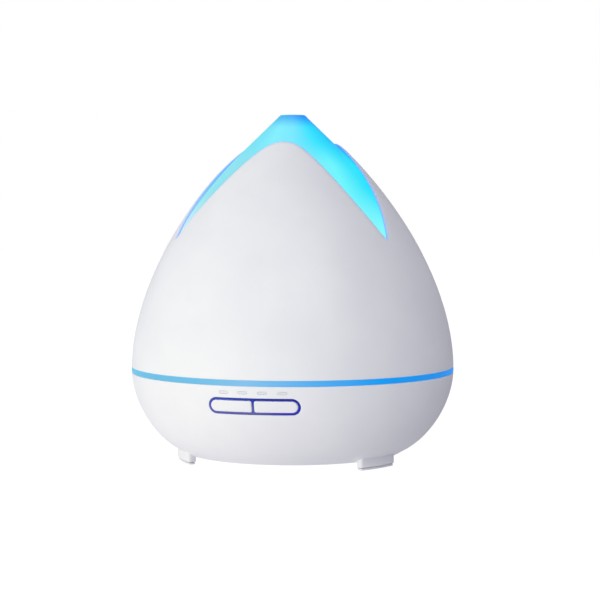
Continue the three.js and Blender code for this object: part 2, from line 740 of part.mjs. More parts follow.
// A key: its face, a wider flange that keeps it in, and a stem towards its switch.
function key(side) {
  const face = solid(prismAlongY(keyOutline(side, 0), -90, -70)).intersect(baseLayer(-0.5, 3.2, 26, 44.5));
  const flange = solid(prismAlongY(keyOutline(side, 0.5), -90, -70)).intersect(baseLayer(2.5, 3.4, 26, 44.5));
  const stem = solid(rodAlongY(side * SWITCH.x, PILL.z, -80, SWITCH.stemY, 2, 12));
  return geometryOf(join(face, flange, stem));
}

// The lit surround of both keys, with the bar that separates them.
function keyFrame() {
  const outer = bar(-PILL.halfLength + GAP, PILL.halfLength - GAP, PILL.z, PILL.halfHeight - GAP);
  const frame = solid(prismAlongY(outer, -90, -60)).intersect(baseLayer(0.3, 2.1, 26, 44.5));
  const holes = [-1, 1].map((side) => solid(prismAlongY(keyOutline(side, GAP), -90, -60)));
  return geometryOf(cut(frame, ...holes));
}

function indicatorWindow(x) {
  const shape = windowBar(x, 0);
  return geometryOf(solid(prismAlongY(shape, -90, -60, 3)).intersect(baseLayer(0, 2.1, 39, 45.2)));
}

function keyBoard() {
  const { halfWidth, frontY, backY, lowZ, highZ, screwX, screwZ } = KEY_BOARD;
  const board = solid(box([-halfWidth, halfWidth], [frontY, backY], [lowZ, highZ]));
  const holes = [-1, 1].map((side) => solid(rodAlongY(side * screwX, screwZ, -80, -60, 1.4, 10)));
  return geometryOf(cut(board, ...holes));
}

function keyBoardScrew(side) {
  const [x, z] = [side * KEY_BOARD.screwX, KEY_BOARD.screwZ];
  const head = solid(rodAlongY(x, z, KEY_BOARD.backY + GAP, KEY_BOARD.backY + GAP + 1.3, 2.2, 14));
  const shaft = solid(rodAlongY(x, z, -75.1, KEY_BOARD.backY + 1, 1, 10));
  return geometryOf(join(head, shaft));
}

function switchBody(side) {
  const x = side * SWITCH.x;
  const { half, backY, frontY, recess, plungerRadius } = SWITCH;
  const body = solid(box([x - half, x + half], [frontY, backY], [PILL.z - half, PILL.z + half]));
  return geometryOf(cut(body, solid(rodAlongY(x, PILL.z, -80, frontY + recess, plungerRadius + GAP, 14))));
}

function switchPlunger(side) {
  const { x, stemY, frontY, plungerRadius } = SWITCH;
  return rodAlongY(side * x, PILL.z, stemY + GAP, frontY + 0.8, plungerRadius, 14);
}

// ---------------------------------------------------------------- electronics

function mainBoard() {
  const { frontY, backY, lowZ, highZ } = BOARD;
  const shape = new THREE.Shape();
  shape.moveTo(-43, backY);
  shape.lineTo(-43, frontY + 17);
  shape.lineTo(-26, frontY);
  shape.lineTo(26, frontY);
  shape.lineTo(43, frontY + 17);
  shape.lineTo(43, backY);
  const board = solid(prismAlongZ(shape, lowZ, highZ));
  const holes = BOARD_SCREWS.map(([x, y]) => solid(rod(x, y, 0, 30, 1.7, 12)));
  return geometryOf(cut(board, ...holes));
}

function heatSink() {
  const base = solid(box([-36, -20], [-38, -34], [BOARD.highZ + GAP, 21]));
  const fins = [0, 1, 2, 3, 4].map((i) =>
    solid(box([-36 + i * 3.7, -34.8 + i * 3.7], [-36, -26], [BOARD.highZ + GAP, 21])),
  );
  return geometryOf(join(base, ...fins));
}

const capacitor = (x, y) => rod(x, y, BOARD.highZ + GAP, 20.5, 4, 20);

function driveCoil() {
  const [x, y, z] = [18, -34, BOARD.highZ + GAP];
  const core = solid(rod(x, y, z, z + 9, 3.4, 16));
  const ends = [z, z + 7.4].map((low) => solid(rod(x, y, low, low + 1.6, 5.2, 20)));
  return geometryOf(join(core, ...ends));
}

function controlChip() {
  return box([-6, 6], [-34, -26], [BOARD.highZ + GAP, BOARD.highZ + 2.2]);
}

const connector = (x, y) => box([x - 5, x + 5], [y - 2.5, y + 2.5], [BOARD.highZ + GAP, BOARD.highZ + 5.5]);

function powerJack() {
  const { x, halfWidth, frontY, backY, lowZ, highZ, boreRadius } = JACK;
  const axisZ = (lowZ + highZ) / 2;
  const body = solid(box([x - halfWidth, x + halfWidth], [frontY, backY], [lowZ, highZ]));
  const bore = solid(rodAlongY(x, axisZ, frontY + 2, backY + 1, boreRadius, 20));
  const pin = solid(rodAlongY(x, axisZ, frontY + 1, backY - 3, 1, 10));
  return geometryOf(join(cut(body, bore), pin));
}

// ---------------------------------------------------------------- assembly

const part = new THREE.Group();

function add(name, geometry, look) {
  const mesh = new THREE.Mesh(geometry, look);
  mesh.name = name;
  part.add(mesh);
}

add("outer_cover", outerCover(), WHITE_SHELL);
add("light_cone", lightCone(), FROSTED);
add("mist_funnel", mistFunnel(), TANK_PLASTIC);

add("light_band", lightBand(), BAND_PLASTIC);
add("base_housing", baseHousing(), WHITE_SHELL);
add("bottom_cover", bottomCover(), WHITE_SHELL);
for (const [place, angle] of Object.entries(FOOT_ANGLES)) add(`foot_pad_${place}`, footPad(angle), SILICONE);
POST_SPOTS.forEach(([x, y], i) => {
  const size = { head: 2.8, headHeight: 1, shaft: 1.3 };
  add(`bottom_screw_${i + 1}`, screw(x, y, PLATE.lowZ + 0.9, 16, size), STEEL);
});

add("water_tank", waterTank(), TANK_PLASTIC);
add("transducer_disc", rod(0, 0, DISC.lowZ, DISC.highZ, DISC.radius, 24), CERAMIC);
add("transducer_gasket", transducerGasket(), SILICONE);
add("clamp_ring", clampRing(), ALUMINIUM);
clampSpots.forEach(([x, y], i) => {
  const size = { head: 2.4, headHeight: 1.3, shaft: 1.1 };
  add(`clamp_screw_${i + 1}`, screw(x, y, CLAMP.lowZ - GAP, 24.2, size), STEEL);
});
add("led_board", ledBoard(), GREEN_BOARD);

add("fan_frame", fanFrame(), BLACK_PLASTIC);
add("fan_rotor", fanRotor(), BLACK_PLASTIC);
add("fan_hood", fanHood(), WHITE_SHELL);
FAN_SCREWS.forEach(([x, y], i) => {
  add(`fan_screw_${i + 1}`, screw(x, y, FAN.highZ + GAP, PLATE.lowZ + 1.1), STEEL);
});

for (const [name, side] of [["light", -1], ["mist", 1]]) {
  add(`${name}_key`, key(side), WHITE_SHELL);
  add(`${name}_switch`, switchBody(side), BLACK_PLASTIC);
  add(`${name}_switch_plunger`, switchPlunger(side), BLACK_PLASTIC);
}
add("key_frame", keyFrame(), KEY_LIGHT);
windowXs().forEach((x, i) => add(`indicator_window_${i + 1}`, indicatorWindow(x), PALE_WINDOW));
add("key_board", keyBoard(), GREEN_BOARD);
add("key_board_screw_left", keyBoardScrew(-1), STEEL);
add("key_board_screw_right", keyBoardScrew(1), STEEL);

add("main_board", mainBoard(), GREEN_BOARD);
BOARD_SCREWS.forEach(([x, y], i) => {
  add(`board_screw_${i + 1}`, screw(x, y, BOARD.highZ + GAP, PLATE.lowZ + 1.1), STEEL);
});
add("heat_sink", heatSink(), ALUMINIUM);
add("capacitor_1", capacitor(30, -34), BLACK_PLASTIC);
add("capacitor_2", capacitor(34, -25), BLACK_PLASTIC);
add("drive_coil", driveCoil(), COPPER);
add("control_chip", controlChip(), BLACK_PLASTIC);
add("transducer_connector", connector(0, -9), PALE_WINDOW);
add("power_connector", connector(24, -9), PALE_WINDOW);
add("key_connector", connector(8, -41), PALE_WINDOW);
add("power_jack", powerJack(), BLACK_PLASTIC);

// Leads, each ending straight above its connector on the main board.
const LEAD_END = BOARD.highZ + 6.4;
for (const [color, x, look] of [["red", 2.5, RED_WIRE], ["black", -2.5, BLACK_PLASTIC]]) {
  const line = [[x, 0, 21.9], [x, -3, 18.6], [x, -8, 18.2], [x, -9, LEAD_END]];
  add(`transducer_lead_${color}`, cable(line, 0.7, 0.7, 10), look);
}
const powerLine = [
  [26, 40.6, 12],
  [28, 36, 12],
  [30, 22, 12],
  [28, 4, 14],
  [26.5, -8, 18.4],
  [26.5, -9, LEAD_END + 0.6],
];
add("power_lead", cable(powerLine, 1.1, 1.1, 16), BLACK_PLASTIC);
const fanLine = [[18.6, 20, 9], [22, 15, 10], [23, 4, 14], [22, -8, 18], [22, -9, LEAD_END]];
add("fan_lead", cable(fanLine, 0.8, 0.8, 12), RED_WIRE);
const keyLine = [
  [8, -69.4, 36],
  [8, -68.4, 30],
  [8, -63, 21],
  [8, -52, 17.4],
  [8, -42, 17.6],
  [8, -41, LEAD_END],
];
add("key_cable", cable(keyLine, 3.2, 0.5, 16), GREY_WIRE);

export default part;
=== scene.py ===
import json
import math

import bmesh
import bpy
from mathutils import Matrix, Vector
from mathutils.geometry import area_tri, delaunay_2d_cdt


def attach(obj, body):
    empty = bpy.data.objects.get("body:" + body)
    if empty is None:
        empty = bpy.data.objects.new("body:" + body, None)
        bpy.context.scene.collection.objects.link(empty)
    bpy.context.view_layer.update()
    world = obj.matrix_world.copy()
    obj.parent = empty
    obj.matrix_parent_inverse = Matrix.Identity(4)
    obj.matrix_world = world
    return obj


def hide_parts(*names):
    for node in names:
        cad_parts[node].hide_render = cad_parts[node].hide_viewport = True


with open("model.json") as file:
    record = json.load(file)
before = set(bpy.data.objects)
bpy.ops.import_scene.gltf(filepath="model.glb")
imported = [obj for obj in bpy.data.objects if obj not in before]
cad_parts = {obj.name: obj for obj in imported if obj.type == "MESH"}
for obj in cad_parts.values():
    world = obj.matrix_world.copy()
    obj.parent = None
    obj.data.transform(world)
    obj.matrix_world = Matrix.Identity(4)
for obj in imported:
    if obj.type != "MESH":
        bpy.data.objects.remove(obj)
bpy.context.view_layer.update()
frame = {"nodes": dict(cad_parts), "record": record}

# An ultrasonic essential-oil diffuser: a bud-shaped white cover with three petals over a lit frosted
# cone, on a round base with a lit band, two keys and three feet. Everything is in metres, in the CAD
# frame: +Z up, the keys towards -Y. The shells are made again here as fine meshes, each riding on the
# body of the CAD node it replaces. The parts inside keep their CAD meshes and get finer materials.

# ---------------------------------------------------------------- sizes

MM = 0.001
GAP = 0.3 * MM  # between pieces that touch
COLUMNS = 180  # around a round shell

PETALS = 3
HALF_PETAL = math.pi / PETALS
COVER_TURN = math.radians(2)  # the cover sits a little turned on the base
APEX_Z = 164.7 * MM  # top of a petal
VALLEY_Z = 114.3 * MM  # where the edges of two petals would meet
SLIT_END = 0.01  # how blunt the slit's end is, as a share of half a petal
COVER_WALL, TIP_WALL = 1.5 * MM, 1.1 * MM
COVER_RIM_Z, BEAD_Z, BEAD_RADIUS = 48.35 * MM, 49.55 * MM, 80.8 * MM

CONE_CLEARANCE, CONE_WALL = 0.7 * MM, 1.5 * MM
NOZZLE_Z, NOZZLE_RADIUS, NOZZLE_HOLE = 178.7 * MM, 6.6 * MM, 4.2 * MM
SOCKET_RADIUS, SOCKET_Z = 7.4 * MM, 167 * MM

BAND_LOW, BAND_HIGH, LEDGE_Z = 45.75 * MM, 48.05 * MM, 46.5 * MM

HOUSING_WALL, HOUSING_RIM_Z, HOUSING_LOW_Z = 2.2 * MM, 45.45 * MM, 3.8 * MM
HOUSING_LOW_RADIUS, RECESS_RADIUS = 56.4 * MM, 55.9 * MM
LIP_RADIUS, LIP_LOW_Z, LIP_TOP_Z = 53.4 * MM, 4.9 * MM, 5.9 * MM

PILL_Z, PILL_HALF_LENGTH, PILL_HALF_HEIGHT, FRAME_WIDTH = 35.6 * MM, 22.8 * MM, 4.1 * MM, 0.7 * MM
BAR_Z, BAR_PITCH, BAR_HALF_LENGTH, BAR_HALF_HEIGHT = 42.3 * MM, 9.7 * MM, 2.2 * MM, 0.6 * MM
STEM_X, STEM_Y = 11 * MM, -76.9 * MM

JACK_X, JACK_Z, JACK_RADIUS, JACK_FACE_Y = 26 * MM, 14.6 * MM, 5.3 * MM, 53.3 * MM

MIRROR_Z = Matrix.Diagonal((1, 1, -1, 1))


# ---------------------------------------------------------------- outlines of the two shells


def cubic(points, share):
    """The point at a share of a cubic curve."""
    a, b, c, d = points
    rest = 1 - share
    return rest**3 * a + 3 * rest**2 * share * b + 3 * rest * share**2 * c + share**3 * d


def halved(low, high, is_below):
    """The place between low and high where is_below stops being true."""
    for _ in range(40):
        middle = (low + high) / 2
        if is_below(middle):
            low = middle
        else:
            high = middle
    return (low + high) / 2


class Outline:
    """A cubic curve of radius and height. Turned about Z it is a shell's outer surface."""

    def __init__(self, *points):
        self.points = [Vector(p) * MM for p in points]

    def at(self, share, depth=0.0):
        """(radius, height) at a share of the curve, moved into the body by depth."""
        point = cubic(self.points, share)
        along = self.slope(share).normalized()
        side = math.copysign(1, along.y)
        return point + depth * side * Vector((-along.y, along.x))

    def slope(self, share):
        a, b, c, d = self.points
        rest = 1 - share
        return 3 * rest**2 * (b - a) + 6 * rest * share * (c - b) + 3 * share**2 * (d - c)

    def share_at(self, height, depth=0.0):
        """The share at which the curve, moved in by depth, is at a height."""
        rising = self.points[3].y > self.points[0].y
        return halved(-0.1, 1.1, lambda share: (self.at(share, depth).y < height) == rising)

    def radius_at(self, height, depth=0.0):
        return self.at(self.share_at(height, depth), depth).x


COVER = Outline((84, 47), (84, 84.7), (60.3, 130.3), (22.4, 165.7))
BASE = Outline((84, 47), (84, 31.8), (73.9, 13.1), (59.6, 5.7))

# Half of a petal's edge, from its top to the slit, as shares of its half angle and of its height.
PETAL = [Vector(p) for p in ((0, 1), (0.52, 1), (0.695, 0.73), (1, 0))]


def steps(first, last, count):
    """Even steps from first to last, both included."""
    return [first + (last - first) * i / count for i in range(count + 1)]


def spot(radius, angle, height):
    """A point by its radius, its angle from the front and its height."""
    return Vector((radius * math.sin(angle), -radius * math.cos(angle), height))


def rounded(corners, count=5):
    """A closed line through (x, y, radius) corners, with an arc of that radius at each."""
    line = []
    for i, (x, y, radius) in enumerate(corners):
        here = Vector((x, y))
        if radius == 0:
            line.append(here)
            continue
        before = (Vector(corners[i - 1][:2]) - here).normalized()
        after = (Vector(corners[(i + 1) % len(corners)][:2]) - here).normalized()
        half = before.angle(after) / 2
        reach = radius / math.tan(half)
        centre = here + (before + after).normalized() * radius / math.sin(half)
        for share in steps(0, 1, count):
            point = (here + before * reach).lerp(here + after * reach, share)
            line.append(centre + (point - centre).normalized() * radius)
    return [p for p, last in zip(line, [line[-1], *line]) if (p - last).length > 1e-7]


def oblong(left, right, low, high, soft_left, soft_right, parts=1, arc_parts=5):
    """A closed line round an oblong with soft corners. Its long sides are in equal parts."""
    across = steps(left + soft_left, right - soft_right, parts)[1:-1]
    return rounded(
        [
            (right, low, soft_right),
            (right, high, soft_right),
            *((x, high, 0) for x in reversed(across)),
            (left, high, soft_left),
            (left, low, soft_left),
            *((x, low, 0) for x in across),
        ],
        arc_parts,
    )


# ---------------------------------------------------------------- mesh building


def smooth(mesh):
    """Shades a mesh smooth, but sharp where faces meet at over 35 degrees."""
    mesh.shade_smooth()
    mesh.set_sharp_from_angle(angle=math.radians(35))


class Form:
    """Points and faces that grow into one mesh."""

    def __init__(self):
        self.points, self.faces = [], []

    def add(self, points):
        """Adds points and gives their numbers."""
        start = len(self.points)
        self.points += [Vector(p) for p in points]
        return list(range(start, len(self.points)))

    def rows(self, rows):
        """Four-sided faces between closed rows of as many points."""
        for first, second in zip(rows, rows[1:]):
            for i in range(len(first)):
                j = (i + 1) % len(first)
                self.faces.append((first[i], first[j], second[j], second[i]))

    def fill(self, rings, placed, spacing=None):
        """Fills the flat area between rings. placed gives each flat point its place."""
        flat, triangles = filled(rings, spacing)
        numbers = self.add(placed(p) for p in flat)
        self.faces += [tuple(numbers[i] for i in face) for face in triangles]

    def piece(self, name, marks=None):
        """The finished object. marks gives each point a value that a material reads as edge_light."""
        mesh = bpy.data.meshes.new(name)
        mesh.from_pydata(self.points, [], self.faces)
        if marks:
            mesh.attributes.new("edge_light", "FLOAT", "POINT").data.foreach_set("value", marks)
        work = bmesh.new()
        work.from_mesh(mesh)
        bmesh.ops.remove_doubles(work, verts=work.verts, dist=2e-6)
        bmesh.ops.recalc_face_normals(work, faces=work.faces)
        work.to_mesh(mesh)
        work.free()
        smooth(mesh)
        made = bpy.data.objects.new(name, mesh)
        bpy.context.scene.collection.objects.link(made)
        return made


def turned(line, columns=COLUMNS):
    """A closed line of (radius, height) points turned about Z."""
    form = Form()
    rows = [form.add(spot(r, turn, z) for r, z in line) for turn in steps(0, 2 * math.pi, columns)[:-1]]
    form.rows([*rows, rows[0]])
    return form


def lathed(name, corners, columns=COLUMNS):
    """A piece turned about Z through (radius, height, rounding) corners."""
    return turned(rounded(corners), columns).piece(name)


def inside(point, ring):
    """True if a flat point is inside a closed ring of points."""
    x, y = point
    hit = False
    for (x0, y0), (x1, y1) in zip(ring, [*ring[1:], ring[0]]):
        if (y0 > y) != (y1 > y) and x < x0 + (y - y0) * (x1 - x0) / (y1 - y0):
            hit = not hit
    return hit


def filled(rings, spacing):
    """Fills the flat area inside the first ring and outside the others with triangles, with points
    about spacing apart in it. Gives the flat points, the rings' own first, and the triangles."""
    flat, edges = [], []
    for ring in rings:
        start = len(flat)
        edges += [(start + i, start + (i + 1) % len(ring)) for i in range(len(ring))]
        flat += [Vector(p) for p in ring]

    def within(point):
        return inside(point, rings[0]) and not any(inside(point, hole) for hole in rings[1:])

    if spacing:
        on_rings = list(flat)
        low = Vector(min(p[k] for p in rings[0]) for k in (0, 1))
        size = Vector(max(p[k] for p in rings[0]) for k in (0, 1)) - low
        across, up = (max(1, round(side / spacing)) for side in size)
        for j in range(1, up):
            shift = 0.25 + 0.5 * (j % 2)  # every other row is half a step along
            for i in range(across):
                point = low + Vector((size.x * (i + shift) / across, size.y * j / up))
                if within(point) and all((point - q).length > 0.6 * spacing for q in on_rings):
                    flat.append(point)
    points, _, faces, sources, _, _ = delaunay_2d_cdt(flat, edges, [], 0, 1e-9)
    kept = []
    for face in faces:
        corners = [points[i] for i in face]
        outline = sum((a - b).length for a, b in zip(corners, [*corners[1:], corners[0]]))
        # Points in a straight row can give triangles that are next to nothing wide.
        if area_tri(*corners) > 1e-7 * outline and within(sum(corners, Vector((0, 0))) / 3):
            kept.append(tuple(sources[i][0] for i in face))
    return flat, kept


def combined(piece, others, operation):
    """Joins the other pieces to this one, or cuts them from it."""
    for other in others:
        step = piece.modifiers.new("combine", "BOOLEAN")
        step.solver, step.operation, step.object = "MANIFOLD", operation, other
    graph = bpy.context.evaluated_depsgraph_get()
    mesh = bpy.data.meshes.new_from_object(piece.evaluated_get(graph))
    piece.modifiers.clear()
    piece.data = mesh
    smooth(mesh)
    for other in others:
        bpy.data.objects.remove(other)
    return piece


def eased(radius, front, back, count=4):
    """The profile of a plate's edge, as (inset, depth): an arc of radius, then straight to the back."""
    arc = [math.radians(90 * i / count) for i in range(count + 1)]
    return [(radius * (1 - math.sin(a)), front + radius * (1 - math.cos(a))) for a in arc] + [(0, back)]


def plate(form, outlines, profile, placed, spacing=None):
    """A plate with rounded edges. Each outline gives its ring at an inset, the outer one first and the
    holes after it. profile lists (inset, depth) from front to back, and placed(x, y, depth) gives a
    point's place."""
    for outline in outlines:
        form.rows([
            form.add(placed(x, y, depth) for x, y in outline(inset))
            for inset, depth in profile
        ])
    for inset, depth in (profile[0], profile[-1]):
        rings = [outline(inset) for outline in outlines]
        form.fill(rings, lambda p, depth=depth: placed(*p, depth), spacing)


# ---------------------------------------------------------------- cover


def petal_top(angle):
    """Height of the cover's upper edge, by the angle from the front: an arch over each petal."""
    turn = (angle - COVER_TURN) % (2 * HALF_PETAL)
    from_slit = 1 - min(turn, 2 * HALF_PETAL - turn) / HALF_PETAL
    across = 1 - math.hypot(from_slit, SLIT_END)
    share = halved(0, 1, lambda share: cubic(PETAL, share).x < across)
    return VALLEY_Z + (APEX_Z - VALLEY_Z) * cubic(PETAL, share).y


def cover_wall(share):
    return COVER_WALL + (TIP_WALL - COVER_WALL) * share


def cover_angles():
    """The angles of the cover's columns, closer together beside each slit."""
    beside = [0.15, 0.3, 0.45, 0.65, 0.9, 1.2, 1.6, 2.1, 2.7, 3.4, 4.2]
    offsets = [*beside, *steps(5, 60, 55)]
    half = [math.radians(a) for a in offsets]
    slits = [COVER_TURN + (2 * i + 1) * HALF_PETAL for i in range(PETALS)]
    return sorted(slit + turn for slit in slits for turn in [0, *half, *(-a for a in half[:-1])])


def from_edge(angle, inset):
    """The angle and the outline's share of the point a distance inside the petal's edge."""
    share = COVER.share_at(petal_top(angle))
    slope = COVER.slope(share)
    radius = COVER.at(share).x
    step = 1e-4
    climb = (petal_top(angle + step) - petal_top(angle - step)) / (2 * step * radius)
    climb *= slope.length / slope.y
    across, up = Vector((climb, -1)).normalized()
    return angle + inset * across / radius, share + inset * up / slope.length


def outer_cover():
    """The white shell. The petals thin down to a soft edge all along their arches."""
    form = Form()
    ease, round_rim, support = 2.4 * MM, 0.3 * MM, 0.5 * MM
    outer_rows, inner_rows = 40, 24
    foot = COVER.share_at(COVER_RIM_Z + round_rim)
    bead = COVER.share_at(BEAD_Z, COVER_WALL)
    arc = [math.radians(a) for a in steps(0, 90, 4)]
    fine_arc = [math.radians(a) for a in steps(0, 90, 9)]
    sections, marks = [], []
    for angle in cover_angles():
        wall = cover_wall(COVER.share_at(petal_top(angle)))
        front, back = 0.6 * wall, 0.2 * wall
        edge = [(ease + support, 0)]
        edge += [(ease * (1 - math.sin(a)), front * (1 - math.cos(a))) for a in fine_arc]
        edge += [(back * (1 - math.cos(a)), wall - back * (1 - math.sin(a))) for a in arc]
        edge.append((ease, wall))
        line = []
        turn, share = from_edge(angle, edge[0][0])
        for step in steps(0, 1, outer_rows)[:-1]:
            r, z = COVER.at(foot + (share - foot) * step)
            line.append(spot(r, angle + (turn - angle) * step**3, z))
        for inset, depth in edge:
            edge_turn, edge_share = from_edge(angle, inset)
            r, z = COVER.at(edge_share, depth)
            line.append(spot(r, edge_turn, z))
        for step in steps(1, 0, inner_rows)[1:]:
            inner_share = bead + (share - bead) * step
            r, z = COVER.at(inner_share, cover_wall(inner_share))
            line.append(spot(r, angle + (turn - angle) * step**3, z))
        middle_r, middle_z = COVER.at(foot).x - round_rim, COVER_RIM_Z + round_rim
        rim = [(BEAD_RADIUS, BEAD_Z), (BEAD_RADIUS, COVER_RIM_Z), (middle_r, COVER_RIM_Z)]
        rim += [(middle_r + round_rim * math.sin(a), middle_z - round_rim * math.cos(a)) for a in arc[1:-1]]
        line += [spot(r, angle, z) for r, z in rim]
        sections.append(form.add(line))
        # The cone's light that falls through the soft edge, and a bluish shade beside it, are painted in
        # through edge_light, most where the least wall is left over it.
        lit = [min(1, depth / front) for _, depth in edge]
        marks += [0.0] * outer_rows + lit
        marks += [0.0] * (len(line) - outer_rows - len(lit))
    form.rows([*sections, sections[0]])
    return form.piece("outer_cover_shell", marks=marks)


def light_cone():
    """The frosted liner that fills the slits and forms the nozzle."""
    foot = COVER.share_at(BEAD_Z + GAP)

    def depth(share):
        return cover_wall(share) + CONE_CLEARANCE

    outer = [COVER.at(share, depth(share)) for share in steps(foot, 1, 50)]
    inner = [COVER.at(share, depth(share) + CONE_WALL) for share in steps(1, foot, 30)]
    shoulder = outer[-1]
    slope = (shoulder.x - NOZZLE_RADIUS) / (NOZZLE_Z - shoulder.y)
    across = CONE_WALL * math.hypot(1, slope)

    def inner_z(radius):
        return NOZZLE_Z - (radius + across - NOZZLE_RADIUS) / slope

    socket_outer = SOCKET_RADIUS + 1.2 * MM
    lip = 0.45 * MM
    nozzle = rounded([
        (*shoulder, 0),
        (NOZZLE_RADIUS, NOZZLE_Z - lip / 2, lip * 0.4),
        (NOZZLE_RADIUS - lip / 2, NOZZLE_Z, lip * 0.4),
        (NOZZLE_HOLE, NOZZLE_Z, lip),
        (NOZZLE_HOLE, inner_z(NOZZLE_HOLE) - 1 * MM, 0),
        (SOCKET_RADIUS, inner_z(NOZZLE_HOLE) - 1 * MM, 0),
        (SOCKET_RADIUS, SOCKET_Z, 0),
        (socket_outer, SOCKET_Z, 0),
        (socket_outer, inner_z(socket_outer), 0),
    ])
    return turned([*outer[:-1], *nozzle, *inner]).piece("light_cone_liner")


def mist_funnel():
    """The funnel under the nozzle, which leads mist up and lets drops run back."""
    wall, tube, skirt = 1.3 * MM, 7 * MM, 34 * MM
    low_z, shoulder_z, tube_z, top_z = 112 * MM, 118 * MM, 150 * MM, 173 * MM
    corner, soft = 0.4 * MM, 3 * MM
    return lathed("mist_funnel_body", [
        (skirt, low_z, corner),
        (skirt, shoulder_z, soft),
        (tube, tube_z, soft),
        (tube, top_z, corner),
        (tube - wall, top_z, corner),
        (tube - wall, tube_z - 1 * MM, soft),
        (skirt - wall, shoulder_z - 1 * MM, soft),
        (skirt - wall, low_z, corner),
    ], 96)


# ---------------------------------------------------------------- base shells


def light_band():
    """The lit band between the cover and the housing, with its ledge and locating skirt."""
    skirt_z, skirt_radius, ledge_radius = 43.8 * MM, 80.8 * MM, 81.6 * MM
    outer, inner, corner = 84 * MM, 79 * MM, 0.25 * MM
    return lathed("light_band_ring", [
        (inner, skirt_z, 0),
        (skirt_radius, skirt_z, 0),
        (skirt_radius, BAND_LOW, 0),
        (outer, BAND_LOW, corner),
        (outer, BAND_HIGH, corner),
        (ledge_radius, BAND_HIGH, 0),
        (ledge_radius, LEDGE_Z, 0),
        (inner, LEDGE_Z, 0),
    ])


def on_base(side):
    """Places points of X, Z and depth under the base's outer surface, on its front (-1) or rear (1)."""
    radii = {}

    def placed(x, z, depth):
        key = (round(z, 9), depth)
        if key not in radii:
            radii[key] = BASE.radius_at(z, depth)
        return Vector((x, side * math.sqrt(radii[key] ** 2 - x**2), z))

    return placed


def bar(x0, x1, z, half, flat_left=False, flat_right=False):
    """The outline of a bar, as a function of inset. An end is round, or square with soft corners."""
    count = round((x1 - x0) / (1.2 * MM))

    def ring(inset):
        low, high = z - half + inset, z + half - inset
        softs = [(0.8 * MM if flat else half) - inset for flat in (flat_left, flat_right)]
        return oblong(x0 + inset, x1 - inset, low, high, *softs, count, 9)

    return ring


def circle(x, y, radius, count=48):
    """The outline of a round hole or disc, as a function of inset."""
    return lambda inset: [
        (x + (radius - inset) * math.cos(a), y + (radius - inset) * math.sin(a))
        for a in steps(0, 2 * math.pi, count)[:-1]
    ]


def bars_x():
    return [(i - 1.5) * BAR_PITCH for i in range(4)]


def window(x, extra=0.0):
    return bar(x - BAR_HALF_LENGTH - extra, x + BAR_HALF_LENGTH + extra, BAR_Z, BAR_HALF_HEIGHT + extra)


